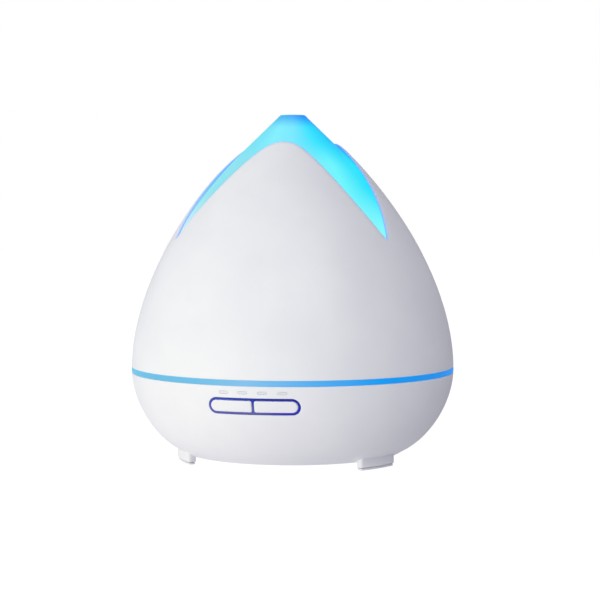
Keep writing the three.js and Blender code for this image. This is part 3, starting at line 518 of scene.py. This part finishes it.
def base_housing():
    """The lower white shell. Its skins are grids of columns and rows, with two areas left out: at the
    front, filled round the openings for the keys and the bars, and at the rear, round the socket."""
    form = Form()
    soft = 0.3 * MM
    turns = steps(0, 2 * math.pi, COLUMNS)[:-1]
    front_z, rear_z = (29.5 * MM, 44.2 * MM), (8 * MM, 22.5 * MM)
    rows_z = [*steps(*rear_z, 12), *steps(rear_z[1], front_z[0], 5)[1:], *steps(*front_z, 12)[1:]]
    areas = [
        {"side": -1, "z": front_z, "turn": (-18, 18)},
        {"side": 1, "z": rear_z, "turn": (144, 170)},
    ]
    pill = bar(-PILL_HALF_LENGTH, PILL_HALF_LENGTH, PILL_Z, PILL_HALF_HEIGHT)
    bar_gap, bar_soft = 0.08 * MM, 0.12 * MM
    bars = [(window(x, bar_gap), bar_soft) for x in bars_x()]
    openings = {-1: [(pill, soft), *bars], 1: [(circle(JACK_X, JACK_Z, JACK_RADIUS), soft)]}
    sleeve = circle(JACK_X, JACK_Z, JACK_RADIUS + 0.7 * MM)

    def in_area(turn, z, area):
        degrees = (math.degrees(turn) + 180) % 360 - 180
        low, high = area["turn"]
        return low < degrees < high and area["z"][0] < z < area["z"][1]

    def skin(depth):
        """One skin's grid, without the two areas. Gives its lowest and highest row."""
        grid = [form.add(spot(BASE.radius_at(z, depth), t, z) for t in turns) for z in rows_z]
        for (low_z, low), (high_z, high) in zip(zip(rows_z, grid), zip(rows_z[1:], grid[1:])):
            for i, turn in enumerate(turns):
                j = (i + 1) % COLUMNS
                middle = turn + math.pi / COLUMNS
                if not any(in_area(middle, (low_z + high_z) / 2, area) for area in areas):
                    form.faces.append((low[i], low[j], high[j], high[i]))
        return grid[0], grid[-1]

    def border(area, depth):
        """The ring of grid points round an area, as X and Z."""
        low, high = area["turn"]
        across = [math.radians(d) for d in steps(low, high, (high - low) // 2)]
        up = [z for z in rows_z if area["z"][0] - 1e-9 < z < area["z"][1] + 1e-9]
        ring = [(t, up[0]) for t in across] + [(across[-1], z) for z in up[1:]]
        ring += [(t, up[-1]) for t in across[-2::-1]] + [(across[0], z) for z in up[-2:0:-1]]
        return [(BASE.radius_at(z, depth) * math.sin(t), z) for t, z in ring]

    outer_low, outer_high = skin(0)
    inner_low, inner_high = skin(HOUSING_WALL)
    for area in areas:
        placed = on_base(area["side"])
        holes = openings[area["side"]]
        outer_rings = [hole(-ease) for hole, ease in holes]
        inner_rings = [sleeve(0)] if area["side"] > 0 else [hole(0) for hole, _ in holes]
        for depth, rings in ((0, outer_rings), (HOUSING_WALL, inner_rings)):
            form.fill([border(area, depth), *rings], lambda p: placed(*p, depth), 1.6 * MM)
        for hole, ease in holes:
            profile = [(-inset, depth) for inset, depth in eased(ease, 0, HOUSING_WALL)]
            if area["side"] > 0:
                profile.pop()
            walls = [form.add(placed(x, z, depth) for x, z in hole(inset)) for inset, depth in profile]
            if area["side"] > 0:
                walls.append(form.add((x, JACK_FACE_Y, z) for x, z in hole(0)))
                walls.append(form.add((x, JACK_FACE_Y, z) for x, z in sleeve(0)))
                walls.append(form.add(placed(x, z, HOUSING_WALL) for x, z in sleeve(0)))
            form.rows(walls)

    def ring(radius, z):
        return form.add(spot(radius, t, z) for t in turns)

    top, arc_z = BASE.radius_at(HOUSING_RIM_Z), HOUSING_RIM_Z - soft
    rim = [outer_high, ring(BASE.radius_at(arc_z), arc_z)]
    arc = (0.52, 1.05)
    rim += [ring(top - soft * (1 - math.cos(a)), arc_z + soft * math.sin(a)) for a in arc]
    rim += [ring(top - soft, HOUSING_RIM_Z), ring(top - HOUSING_WALL, HOUSING_RIM_Z), inner_high]
    form.rows(rim)
    lower = [BASE.at(share) for share in steps(BASE.share_at(rear_z[0]), 1, 4)[1:]]
    edge = [(HOUSING_LOW_RADIUS, HOUSING_LOW_Z, 0.5 * MM), (RECESS_RADIUS, HOUSING_LOW_Z, 0)]
    lower += rounded([(*lower[-1], 0), *edge])[1:]
    lower += [(RECESS_RADIUS, LIP_LOW_Z), (LIP_RADIUS, LIP_LOW_Z), (LIP_RADIUS, LIP_TOP_Z)]
    form.rows([outer_low, *(ring(r, z) for r, z in lower), inner_low])
    shell = form.piece("base_housing_shell")
    feet = [prism("foot", foot_outline(a), 1.3 * MM, 6.4 * MM, 0.4 * MM) for a in FEET.values()]
    return combined(shell, feet, "UNION")


# ---------------------------------------------------------------- keys


def key_outline(side):
    """The outline of the left (-1) or right (1) key: round at its outer end, square at its inner."""
    near = FRAME_WIDTH / 2 + GAP
    far = PILL_HALF_LENGTH - FRAME_WIDTH - 2 * GAP
    half = PILL_HALF_HEIGHT - FRAME_WIDTH - 2 * GAP
    if side < 0:
        return bar(-far, -near, PILL_Z, half, flat_right=True)
    return bar(near, far, PILL_Z, half, flat_left=True)


def key(name, side):
    """A key: its soft-edged face, a wider flange that keeps it in, and a stem towards its switch."""
    form = Form()
    placed = on_base(-1)
    profile = eased(0.5 * MM, -0.5 * MM, 2.5 * MM, 6)
    profile += [(-0.5 * MM, 2.5 * MM), (-0.5 * MM, 3.4 * MM)]
    plate(form, [key_outline(side)], profile, placed, 1.2 * MM)
    stem = circle(side * STEM_X, PILL_Z, 2 * MM, 24)
    ends = [form.add((x, y, z) for x, z in stem(0)) for y in (-79 * MM, STEM_Y)]
    form.rows(ends)
    form.faces += [tuple(end) for end in ends]
    return form.piece(f"{name}_key_cap")


def key_frame():
    """The lit surround of both keys, with the bar that separates them."""
    form = Form()
    outer = bar(-PILL_HALF_LENGTH + GAP, PILL_HALF_LENGTH - GAP, PILL_Z, PILL_HALF_HEIGHT - GAP)
    holes = [lambda inset, side=side: key_outline(side)(-GAP - inset) for side in (-1, 1)]
    placed = on_base(-1)
    profile = eased(0.15 * MM, 0.3 * MM, 2.1 * MM, 3)
    plate(form, [outer, *holes], profile, placed, 0.8 * MM)
    return form.piece("key_frame_surround")


def indicator(number, x):
    """The window of one of the four small bars above the keys."""
    form = Form()
    plate(form, [window(x)], eased(0.1 * MM, 0, 2.1 * MM, 3), on_base(-1))
    return form.piece(f"indicator_bar_{number}")


# ---------------------------------------------------------------- underside


def prism(name, outline, low, high, soft=0.0):
    """An outline in X and Y, extended from low to high, with its lower edge rounded."""
    form = Form()
    profile = eased(soft, low, high) if soft else [(0, low), (0, high)]
    plate(form, [outline], profile, lambda x, y, z: (x, y, z))
    return form.piece(name)


def around(radius, *degrees):
    """Points on a circle about Z, by their angles from +X."""
    return [(radius * math.cos(math.radians(a)), radius * math.sin(math.radians(a))) for a in degrees]


def rods(places, radius, low, high, soft=0.0, count=24):
    """Upright round rods, to be joined to a piece or cut from it."""
    return [prism("rod", circle(x, y, radius, count), low, high, soft) for x, y in places]


POSTS = around(49.4 * MM, -90, 30, 150)
FEET = {"rear": 90, "front_left": 210, "front_right": 330}


def foot_outline(degrees, shrink=0.0):
    """The outline of a foot, a bent bar with rounded corners, as a function of inset."""
    outer, inner, corner = 60.4 * MM - shrink, 56 * MM + shrink, 1.3 * MM - shrink
    middle = (outer + inner) / 2
    reach = math.radians(12.4) * middle - shrink

    def ring(inset):
        side, soft = reach - inset, corner - inset
        flat = oblong(-side, side, inner + inset, outer - inset, soft, soft, 8)
        turns = [(r, math.radians(degrees) + u / middle) for u, r in flat]
        return [(r * math.cos(turn), r * math.sin(turn)) for r, turn in turns]

    return ring


def bottom_cover():
    """The underside: a plate with a flange, an air grille under the fan, and supports on its top."""
    low, flange_z, high, fan_y = 3.8 * MM, 4.6 * MM, 5.6 * MM, 34.6 * MM
    radius, flange_radius, soft = 53.1 * MM, 55.6 * MM, 0.2 * MM
    cover = lathed("bottom_cover_plate", [
        (0, low, 0),
        (flange_radius, low, soft),
        (flange_radius, flange_z, soft),
        (radius, flange_z, 0),
        (radius, high, soft),
        (0, high, 0),
    ])
    root, corner = low + 1 * MM, 14.5 * MM
    corners = [(x * corner, fan_y + y * corner) for x in (-1, 1) for y in (-1, 1)]
    fan_supports = rods(corners, 3 * MM, root, 6.3 * MM)
    for support in fan_supports:
        limit = rods([(0, 0)], radius - 0.1 * MM, 0, high + 2 * MM, count=96)
        combined(support, limit, "INTERSECT")
    board_supports = rods([(x * 36 * MM, -16 * MM) for x in (-1, 1)], 3 * MM, root, 7.7 * MM)
    combined(cover, fan_supports + board_supports, "UNION")
    grille, pitch, slot_half = 15 * MM, 4.8 * MM, 1.2 * MM
    slots = []
    for y in (i * pitch for i in range(-2, 3)):
        half = math.sqrt(grille**2 - y**2)
        slots.append(prism("slot", bar(-half, half, fan_y + y, slot_half), 0, 6 * MM))
    holes = rods(POSTS, 1.6 * MM, 0, 8 * MM)
    seats = rods(POSTS, 3.1 * MM, 0, low + 1.2 * MM, count=32)
    return combined(cover, slots + holes + seats, "DIFFERENCE")


# ---------------------------------------------------------------- tank


def water_tank():
    """The frosted bowl: its collar, its flange, the air chimney and, below, posts, bosses and pins."""
    under, floor, flange_low, flange_high = 25 * MM, 27 * MM, LEDGE_Z + GAP, BAND_HIGH
    fine, soft = 0.4 * MM, 1.5 * MM
    bowl = lathed("water_tank_bowl", [
        (8.6 * MM, 25.2 * MM, 0),
        (13.4 * MM, 25.2 * MM, 0),
        (13.4 * MM, 21.9 * MM, 0),
        (15.6 * MM, 21.9 * MM, fine),
        (15.6 * MM, under, fine),
        (56 * MM, under, 8 * MM),
        (64 * MM, 30 * MM, 4 * MM),
        (66 * MM, 38 * MM, soft),
        (66 * MM, flange_low, fine),
        (81.3 * MM, flange_low, fine),
        (81.3 * MM, flange_high, fine),
        (78.6 * MM, flange_high, 0.3 * MM),
        (78.6 * MM, 58 * MM, 0.6 * MM),
        (76.8 * MM, 58 * MM, 0.6 * MM),
        (76.8 * MM, flange_high + 0.5 * MM, soft),
        (64.2 * MM, flange_high + 0.5 * MM, soft),
        (64.2 * MM, 43.2 * MM, 0),
        (63.9 * MM, 43 * MM, 0),
        (63.9 * MM, 42.6 * MM, 0),
        (64.2 * MM, 42.4 * MM, 0),
        (64.2 * MM, 38.4 * MM, soft),
        (62.3 * MM, 31 * MM, 4 * MM),
        (55.4 * MM, floor, 6 * MM),
        (8.6 * MM, floor, 0.6 * MM),
    ])

    def box(inset):
        side, front, rear, soft = 11.4 * MM - inset, 53 * MM + inset, 64.6 * MM - inset, 2 * MM
        return oblong(-side, side, front, rear, soft, soft)

    top, chimney_wall = 56 * MM, 1.5 * MM
    chimney = prism("chimney", box, -top, -under, 0.5 * MM)
    chimney.data.transform(MIRROR_Z)
    chimney.data.flip_normals()
    clamps = around(19.5 * MM, -90, 30, 150)
    pin_places = around(31.5 * MM, *(28.65 + 120 * i for i in range(3)))
    root = under + 0.5 * MM
    posts = rods(POSTS, 3.6 * MM, 5.9 * MM, root, 0.3 * MM, 32)
    bosses = rods(clamps, 2.8 * MM, 21.6 * MM, root)
    pins = rods(pin_places, 1.1 * MM, 20.8 * MM, root, count=16)
    combined(bowl, [chimney, *posts, *bosses, *pins], "UNION")
    shaft = prism("shaft", lambda inset: box(inset + chimney_wall), 0, top + 1 * MM)
    pilots = rods(POSTS, 1.6 * MM, 0, 18 * MM) + rods(clamps, 1.5 * MM, 0, 24.8 * MM)
    return combined(bowl, [shaft, *pilots], "DIFFERENCE")


def transducer_gasket():
    """A ring of soft silicone with a groove that holds the transducer's edge."""
    low, high, outer, inner, groove = 21.6 * MM, 24.9 * MM, 13.1 * MM, 8.2 * MM, 10.3 * MM
    soft = 0.3 * MM
    return lathed("transducer_gasket_ring", [
        (inner, low, soft),
        (outer, low, soft),
        (outer, high, soft),
        (inner, high, soft),
        (inner, 24.2 * MM, 0),
        (groove, 24.2 * MM, 0),
        (groove, 22.4 * MM, 0),
        (inner, 22.4 * MM, 0),
    ], 96)


def transducer_disc():
    """The disc that makes the mist: a metal plate with a shallow bright membrane in its middle."""
    low, high = 22.7 * MM, 23.9 * MM
    soft, dish = 0.2 * MM, 0.3 * MM
    return lathed("transducer_disc_plate", [
        (0, low, 0),
        (10 * MM, low, soft),
        (10 * MM, high, soft),
        (3.4 * MM, high, 0),
        (3.1 * MM, high - dish, 0),
        (0, high - dish, 0),
    ], 96)


# ---------------------------------------------------------------- materials


def color(*screen):
    """A colour given as screen values from 0 to 255, for a shader."""
    linear = (((c / 255 + 0.055) / 1.055) ** 2.4 if c > 10 else c / 255 / 12.92 for c in screen)
    return (*linear, 1)


BLACK, WHITE = (0, 0, 0, 1), (1, 1, 1, 1)


class Nodes:
    """The nodes of a material or of the world. place is the point or the direction that they shade."""

    def __init__(self, tree, space):
        self.tree = tree
        self.place = self.node("TexCoord").outputs[space]

    def put(self, node, inputs):
        """Sets a node's inputs, or links them where the value is another node's output."""
        for name, value in inputs.items():
            if isinstance(value, bpy.types.NodeSocket):
                self.tree.links.new(value, node.inputs[name])
            else:
                node.inputs[name].default_value = value

    def node(self, kind, inputs=None, **settings):
        made = self.tree.nodes.new(f"ShaderNode{kind}")
        for name, value in settings.items():
            setattr(made, name, value)
        self.put(made, inputs or {})
        return made

    def ramp(self, factor, *stops):
        """A colour that runs through (place, colour) stops."""
        made = self.node("ValToRGB", {"Fac": factor})
        elements = made.color_ramp.elements
        while len(elements) < len(stops):
            elements.new(0.5)
        for element, (place, value) in zip(elements, stops):
            element.position, element.color = place, value
        return made.outputs[0]

    def vector(self, operation, *vectors):
        return self.node("VectorMath", dict(enumerate(vectors)), operation=operation).outputs

    def spread(self, value, start, end, kind="LINEAR"):
        """0 to 1 as a value goes from start to end."""
        inputs = {"Value": value, "From Min": start, "From Max": end}
        return self.node("MapRange", inputs, interpolation_type=kind).outputs[0]

    def along(self, direction, start, end, kind="SMOOTHSTEP"):
        """0 to 1 along a direction, between two distances from the origin."""
        return self.spread(self.vector("DOT_PRODUCT", self.place, direction)["Value"], start, end, kind)


class Look(Nodes):
    """A material with one shader, and nodes that vary its colour, roughness and surface."""

    def __init__(self, name, base, roughness, constants=None):
        self.material = bpy.data.materials.new(name)
        self.material.use_nodes = True
        super().__init__(self.material.node_tree, "Object")
        self.shader = self.tree.nodes["Principled BSDF"]
        self.put(self.shader, {"Roughness": roughness, **(constants or {})})
        self.colored(base)

    def colored(self, base):
        self.base = base
        self.put(self.shader, {"Base Color": base})
        return self

    def noise(self, size, detail=2.0, stretch=(1, 1, 1)):
        """Soft noise with features of about a size, longer along the axes where stretch is over 1."""
        scale = [1 / (size * s) for s in stretch]
        moved = self.node("Mapping", {"Vector": self.place, "Scale": scale}).outputs[0]
        return self.node("TexNoise", {"Vector": moved, "Scale": 1.0, "Detail": detail}).outputs[0]

    def blend(self, factor, first, second):
        return self.node("Mix", {"Factor": factor, 6: first, 7: second}, data_type="RGBA").outputs[2]

    def flat_place(self):
        return self.vector("MULTIPLY", self.place, (1, 1, 0))[0]

    def from_axis(self, start, end):
        """0 to 1 with the distance from the Z axis, between two distances."""
        return self.spread(self.vector("LENGTH", self.flat_place())["Value"], start, end)

    def mottled(self, size, second, stretch=(1, 1, 1)):
        """The base colour wanders towards a second one."""
        factor = self.ramp(self.noise(size, 3.0, stretch), (0.35, BLACK), (0.65, WHITE))
        return self.colored(self.blend(factor, self.base, second))

    def worn(self, size, low, high, stretch=(1, 1, 1)):
        """The roughness wanders between two values."""
        spread = {"Value": self.noise(size, 3.0, stretch), "From Min": 0.3, "From Max": 0.7}
        worn = self.node("MapRange", {**spread, "To Min": low, "To Max": high})
        self.put(self.shader, {"Roughness": worn.outputs[0]})
        return self

    def grained(self, size, height):
        """Fine unevenness of a feature size and a height."""
        return self.bumped(self.noise(size), height)

    def bumped(self, factor, height):
        bump = self.node("Bump", {"Height": factor, "Distance": height})
        self.put(self.shader, {"Normal": bump.outputs[0]})
        return self

    def lit(self, glow, strength=1.0):
        self.put(self.shader, {"Emission Color": glow, "Emission Strength": strength})
        return self


# painted light and shade: glows are paler on the side the room's light falls on and deeper on the side in
# shade
TOWARDS_PAINTED_SHADE = (0.973, 0.232, 0)  # the direction from the pale side of the glow to the deep one


def white_shell(name="satin_white_plastic"):
    """Satin moulded plastic, with a very slight grain."""
    shell = Look(name, color(241, 241, 243), 0.42, {"Specular IOR Level": 0.45})
    shell.mottled(22 * MM, color(238, 238, 241)).worn(9 * MM, 0.38, 0.48)
    return shell.grained(1.2 * MM, 0.002 * MM)


def cover_shell():
    """The white plastic, with the cone's light and a bluish shade painted into the petals' soft edges."""
    shell = white_shell("satin_white_cover")
    edge = shell.node("Attribute", attribute_name="edge_light").outputs["Fac"]
    # painted light and shade: where edge_light is high the base turns lavender-blue and the edge glows blue
    shell.colored(shell.blend(edge, shell.base, color(140, 170, 225)))
    return shell.lit(shell.blend(edge, BLACK, color(48, 96, 166)))


def frosted_cone():
    """Frosted plastic lit from inside: pale in the slits, bluer at the nozzle's top, and deep cyan on its
    right flank. Across it the glow is painted paler on the lit left and deeper on the right flank, which is
    in shade."""
    cone = Look("frosted_cone_plastic", color(26, 60, 74), 0.55, {"Specular IOR Level": 0.2})
    outward = cone.vector("NORMALIZE", cone.flat_place())[0]
    # painted light and shade: the glow pales towards the lit left and deepens towards the shaded right
    side = cone.spread(cone.vector("DOT_PRODUCT", outward, TOWARDS_PAINTED_SHADE)["Value"], -1, 1)
    slit_end = cone.ramp(side, (0.05, color(204, 230, 240)), (0.8, color(134, 246, 248)))
    slit = cone.ramp(
        side,
        (0.03, color(136, 218, 228)),
        (0.5, color(136, 220, 236)),
        (0.8, color(110, 242, 248)),
        (0.93, color(30, 222, 244)),
    )
    flank = cone.ramp(
        side,
        (0.0, color(104, 214, 230)),
        (0.25, color(128, 234, 250)),
        (0.5, color(119, 228, 250)),
        (0.78, color(46, 222, 248)),
        (0.92, color(0, 206, 244)),
        (1.0, color(0, 172, 236)),
    )
    tip = cone.ramp(
        side,
        (0.0, color(70, 180, 225)),
        (0.5, color(66, 168, 246)),
        (0.9, color(14, 136, 244)),
    )
    low = cone.blend(cone.along((0, 0, 1), 114 * MM, 142 * MM), slit_end, slit)
    high = cone.blend(cone.along((0, 0, 1), 150 * MM, 166 * MM), low, flank)
    glow = cone.blend(cone.along((0, 0, 1), 171 * MM, NOZZLE_Z), high, tip)
    cone.mottled(6 * MM, color(22, 54, 68)).worn(4 * MM, 0.48, 0.62)
    return cone.grained(0.5 * MM, 0.02 * MM).lit(glow)


def lit_band():
    """A clear blue light guide, painted paler towards the lit left and deeper blue towards the right, which
    is in shade.
    """
    band = Look("lit_band_plastic", color(10, 24, 40), 0.45, {"Specular IOR Level": 0.15})
    # painted light and shade across the band, from the lit left to the shaded right
    across = band.along(TOWARDS_PAINTED_SHADE, -84 * MM, 84 * MM)
    glow = band.ramp(
        across,
        (0.0, color(100, 188, 224)),
        (0.3, color(130, 193, 234)),
        (0.6, color(82, 171, 236)),
        (0.85, color(16, 153, 240)),
        (1.0, color(24, 140, 230)),
    )
    band.mottled(5 * MM, color(8, 20, 36)).worn(3 * MM, 0.38, 0.52)
    return band.grained(0.6 * MM, 0.015 * MM).lit(glow)


def key_light():
    """The surround of the keys: a deep blue light guide, with painted shade that makes it darkest along its
    top and right, and painted light that makes it paler on the left.
    """
    light = Look("key_light_plastic", color(10, 16, 44), 0.4, {"Specular IOR Level": 0.3})
    # painted shade along the top and painted light and shade from the left to the right
    up = light.along((0, 0, 1), PILL_Z - PILL_HALF_HEIGHT, PILL_Z + PILL_HALF_HEIGHT)
    across = light.along((1, 0, 0), -PILL_HALF_LENGTH, PILL_HALF_LENGTH)
    low = light.ramp(
        across,
        (0.0, color(84, 84, 168)),
        (0.6, color(88, 90, 160)),
        (1.0, color(24, 26, 178)),
    )
    high = light.ramp(
        across,
        (0.0, color(40, 66, 172)),
        (0.25, color(10, 48, 164)),
        (1.0, color(4, 14, 142)),
    )
    light.mottled(3 * MM, color(8, 12, 38)).worn(3 * MM, 0.34, 0.46)
    return light.grained(0.5 * MM, 0.01 * MM).lit(light.blend(up, low, high))


def frosted_tank():
    """Milky moulded plastic with a faint glow from the diodes under its floor."""
    tank = Look("frosted_tank_plastic", color(222, 236, 240), 0.4, {"Subsurface Weight": 0.15})
    glow = tank.ramp(tank.from_axis(26 * MM, 62 * MM), (0.0, color(120, 210, 240)), (1.0, BLACK))
    tank.mottled(12 * MM, color(214, 232, 238)).worn(7 * MM, 0.34, 0.5)
    return tank.grained(0.8 * MM, 0.02 * MM).lit(glow, 0.35)


def piezo_disc():
    """A ceramic face with a bright metal membrane in its middle and a metal rim."""
    disc = Look("piezo_ceramic_face", color(214, 204, 176), 0.3)
    share = disc.from_axis(0, 10 * MM)

    def rings(metal, ceramic):
        return disc.ramp(share, (0.33, metal), (0.36, ceramic), (0.9, ceramic), (0.93, metal))

    disc.colored(rings(color(196, 190, 178), color(222, 214, 192)))
    disc.put(disc.shader, {"Metallic": rings(WHITE, BLACK)})
    return disc.worn(2 * MM, 0.22, 0.4).grained(0.4 * MM, 0.01 * MM)


def green_board():
    """Solder mask with pale traces, pads and a fine weave under it."""
    board = Look("circuit_board_mask", color(24, 92, 56), 0.35)
    moved = board.node("Mapping", {"Vector": board.place, "Scale": (160, 160, 160)}).outputs[0]
    sizes = {"Mortar Size": 0.05, "Brick Width": 0.9, "Row Height": 0.28, "Scale": 1.0}
    bricks = board.node("TexBrick", {"Vector": moved, **sizes})
    dots = board.node("TexVoronoi", {"Vector": moved, "Scale": 1.6}).outputs["Distance"]
    pads = board.ramp(dots, (0.10, WHITE), (0.14, BLACK))
    traced = board.blend(bricks.outputs["Fac"], board.base, color(52, 128, 82))
    board.colored(board.blend(pads, traced, color(196, 190, 170)))
    return board.worn(4 * MM, 0.28, 0.42).bumped(bricks.outputs["Fac"], 0.03 * MM)


def copper_coil():
    """Enamelled wire wound round a core."""
    coil = Look("enamelled_copper", color(176, 98, 52), 0.35, {"Metallic": 0.8})
    wave = {"Vector": coil.place, "Scale": 400.0, "Distortion": 0.4}
    turns = coil.node("TexWave", wave, bands_direction="Z")
    coil.mottled(3 * MM, color(150, 80, 42)).worn(2 * MM, 0.28, 0.45)
    return coil.bumped(turns.outputs["Fac"], 0.2 * MM)


def plain_look(name, shades, roughness, sizes, grain=0.0, stretch=(1, 1, 1), constants=None):
    """A material of two mixed shades. roughness is (mean, lowest, highest), and sizes are those of the
    patches of colour, of roughness and, if it has one, of its grain."""
    look = Look(name, color(*shades[0]), roughness[0], constants)
    look.mottled(sizes[0] * MM, color(*shades[1]), stretch).worn(sizes[1] * MM, *roughness[1:], stretch)
    return look.grained(sizes[2] * MM, grain) if grain else look


def plain_looks():
    """The materials that are a colour with its own fine unevenness, by the name of their slot."""
    fine, rough = 0.01 * MM, 0.02 * MM
    return {
        "steel_screw": plain_look(
            "zinc_plated_steel",
            ((186, 188, 192), (168, 170, 176)),
            (0.3, 0.22, 0.4),
            (3, 2, 0.4),
            fine,
            constants={"Metallic": 1.0},
        ),
        "aluminium": plain_look(
            "brushed_aluminium",
            ((200, 203, 207), (188, 190, 196)),
            (0.35, 0.28, 0.45),
            (5, 1),
            stretch=(12, 1, 1),
            constants={"Metallic": 1.0},
        ),
        "silicone": plain_look(
            "soft_silicone",
            ((236, 236, 239), (230, 230, 234)),
            (0.7, 0.62, 0.8),
            (6, 4, 0.5),
            rough,
            constants={"Specular IOR Level": 0.3},
        ),
        "pale_nylon": plain_look(
            "pale_nylon", ((226, 224, 216), (218, 215, 205)), (0.5, 0.42, 0.58), (4, 3, 0.5), fine
        ),
        "pale_window": plain_look(
            "pale_window_plastic", ((230, 232, 237), (225, 228, 234)), (0.45, 0.4, 0.5), (2, 2, 0.4), fine
        ),
        "black_plastic": plain_look(
            "black_plastic", ((34, 35, 38), (28, 29, 32)), (0.45, 0.38, 0.55), (7, 4, 0.4), rough
        ),
        "red_wire": plain_look(
            "red_wire_sleeve", ((176, 38, 36), (160, 30, 30)), (0.5, 0.42, 0.6), (5, 3, 0.6), rough
        ),
        "grey_wire": plain_look(
            "grey_cable_sleeve", ((156, 161, 167), (146, 150, 157)), (0.5, 0.42, 0.6), (5, 3, 0.6), rough
        ),
    }


LOOKS = plain_looks() | {
    "white_shell": white_shell(),
    "frosted_cone": frosted_cone(),
    "lit_band": lit_band(),
    "key_light": key_light(),
    "frosted_tank": frosted_tank(),
    "piezo_ceramic": piezo_disc(),
    "green_board": green_board(),
    "copper_coil": copper_coil(),
}


# ---------------------------------------------------------------- assembly


def show(piece, body, slot, node, look=None):
    """Puts a fine piece in place of a CAD node, on its body and with its slot's material or its own."""
    piece.data.materials.clear()
    piece.data.materials.append((look or LOOKS[slot]).material)
    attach(piece, body)
    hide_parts(node)


show(outer_cover(), "cover", "white_shell", "outer_cover", cover_shell())
show(light_cone(), "cover", "frosted_cone", "light_cone")
show(mist_funnel(), "cover", "frosted_tank", "mist_funnel")
show(light_band(), "base", "lit_band", "light_band")
show(base_housing(), "base", "white_shell", "base_housing")
show(bottom_cover(), "base", "white_shell", "bottom_cover")
show(water_tank(), "base", "frosted_tank", "water_tank")
show(transducer_gasket(), "base", "silicone", "transducer_gasket")
show(transducer_disc(), "base", "piezo_ceramic", "transducer_disc")
show(key_frame(), "base", "key_light", "key_frame")
for name, side in (("light", -1), ("mist", 1)):
    show(key(name, side), f"{name}_button", "white_shell", f"{name}_key")
for number, x in enumerate(bars_x(), 1):
    show(indicator(number, x), "base", "pale_window", f"indicator_window_{number}")
for place, degrees in FEET.items():
    pad = prism(f"pad_{place}", foot_outline(degrees, 0.5 * MM), 0, 1 * MM, 0.2 * MM)
    show(pad, "base", "silicone", f"foot_pad_{place}")

# The CAD nodes that stay take the material of their slot in the record.
for subpart in frame["record"]["subparts"]:
    mesh = frame["nodes"][subpart["node"]].data
    mesh.materials.clear()
    mesh.materials.append(LOOKS[subpart["material_slot"]].material)

# ---------------------------------------------------------------- floor, light and camera


def floor():
    """A plain white floor, bright enough to meet the white surroundings."""
    half = 4.0
    mesh = bpy.data.meshes.new("floor")
    corners = [(x * half, y * half, 0) for x, y in ((-1, -1), (1, -1), (1, 1), (-1, 1))]
    mesh.from_pydata(corners, [], [(0, 1, 2, 3)])
    made = bpy.data.objects.new("floor", mesh)
    bpy.context.scene.collection.objects.link(made)
    paper = Look("floor_paper", (0.35, 0.35, 0.35, 1), 0.9, {"Specular IOR Level": 0.0})
    paper.lit(WHITE, 0.86)
    mesh.materials.append(paper.material)
    made.visible_diffuse = made.visible_glossy = made.visible_transmission = made.visible_shadow = False


def surroundings():
    """A white room that is brightest from the front left, dark behind and cool from the right, with a
    small lamp above, weak wide ones at the right and the rear, and a glow from below. The camera itself
    sees plain white."""
    world = bpy.data.worlds.new("studio")
    world.use_nodes = True
    bpy.context.scene.world = world
    world.node_tree.nodes.clear()
    sky = Nodes(world.node_tree, "Generated")

    def towards(direction, low, high, kind="SMOOTHSTEP"):
        """0 to 1 as a direction turns towards another one, between two cosines."""
        return sky.along(Vector(direction).normalized(), low, high, kind)

    light = sky.ramp(
        towards((-0.70, -0.695, -0.164), -1, 1, "LINEAR"),
        (0.0, (0.20, 0.20, 0.26, 1)),
        (0.125, (0.10, 0.10, 0.15, 1)),
        (0.25, (0.02, 0.02, 0.03, 1)),
        (0.375, (0.09, 0.10, 0.15, 1)),
        (0.5, (0.305, 0.325, 0.43, 1)),
        (0.625, (0.50, 0.53, 0.655, 1)),
        (0.75, (0.69, 0.71, 0.79, 1)),
        (0.875, (0.965, 0.97, 0.94, 1)),
        (1.0, (1.35, 1.34, 1.15, 1)),
    )
    lamp = towards((0.34, -0.60, 0.72), 0.88, 1)
    right = towards((0.84, 0.20, 0.50), 0.2, 1)
    rear = towards((-0.32, 0.92, 0.22), 0.3, 1)
    below = towards((0, 0, -1), 0, 0.7)
    glows = (
        (lamp, (2.34, 2.33, 2.20)),
        (right, (0.15, 0.15, 0.15)),
        (rear, (0.36, 0.36, 0.37)),
        (below, (0.25, 0.23, 0.23)),
    )
    for amount, tone in glows:
        scaled = sky.node("VectorMath", {0: tone, "Scale": amount}, operation="SCALE").outputs[0]
        light = sky.vector("ADD", light, scaled)[0]
    room, white = (sky.node("Background", {"Color": tone}).outputs[0] for tone in (light, WHITE))
    seen = sky.node("LightPath").outputs["Is Camera Ray"]
    shown = sky.node("MixShader", {0: seen, 1: room, 2: white}).outputs[0]
    sky.node("OutputWorld", {"Surface": shown})


def camera():
    """Looks almost level from the front, a little from the right."""
    distance, height, azimuth = 0.895, 0.13025, math.radians(13.4)
    tilt, turn = math.radians(86.945), math.radians(13.156)
    lens = bpy.data.cameras.new("camera")
    lens.lens, lens.sensor_width = 102.75, 36
    lens.clip_start, lens.clip_end = 0.01, 20
    made = bpy.data.objects.new("camera", lens)
    made.location = (distance * math.sin(azimuth), -distance * math.cos(azimuth), height)
    made.rotation_euler = (tilt, 0, turn)
    bpy.context.scene.collection.objects.link(made)
    bpy.context.scene.camera = made


floor()
surroundings()
camera()
bpy.context.scene.view_settings.view_transform = "Standard"
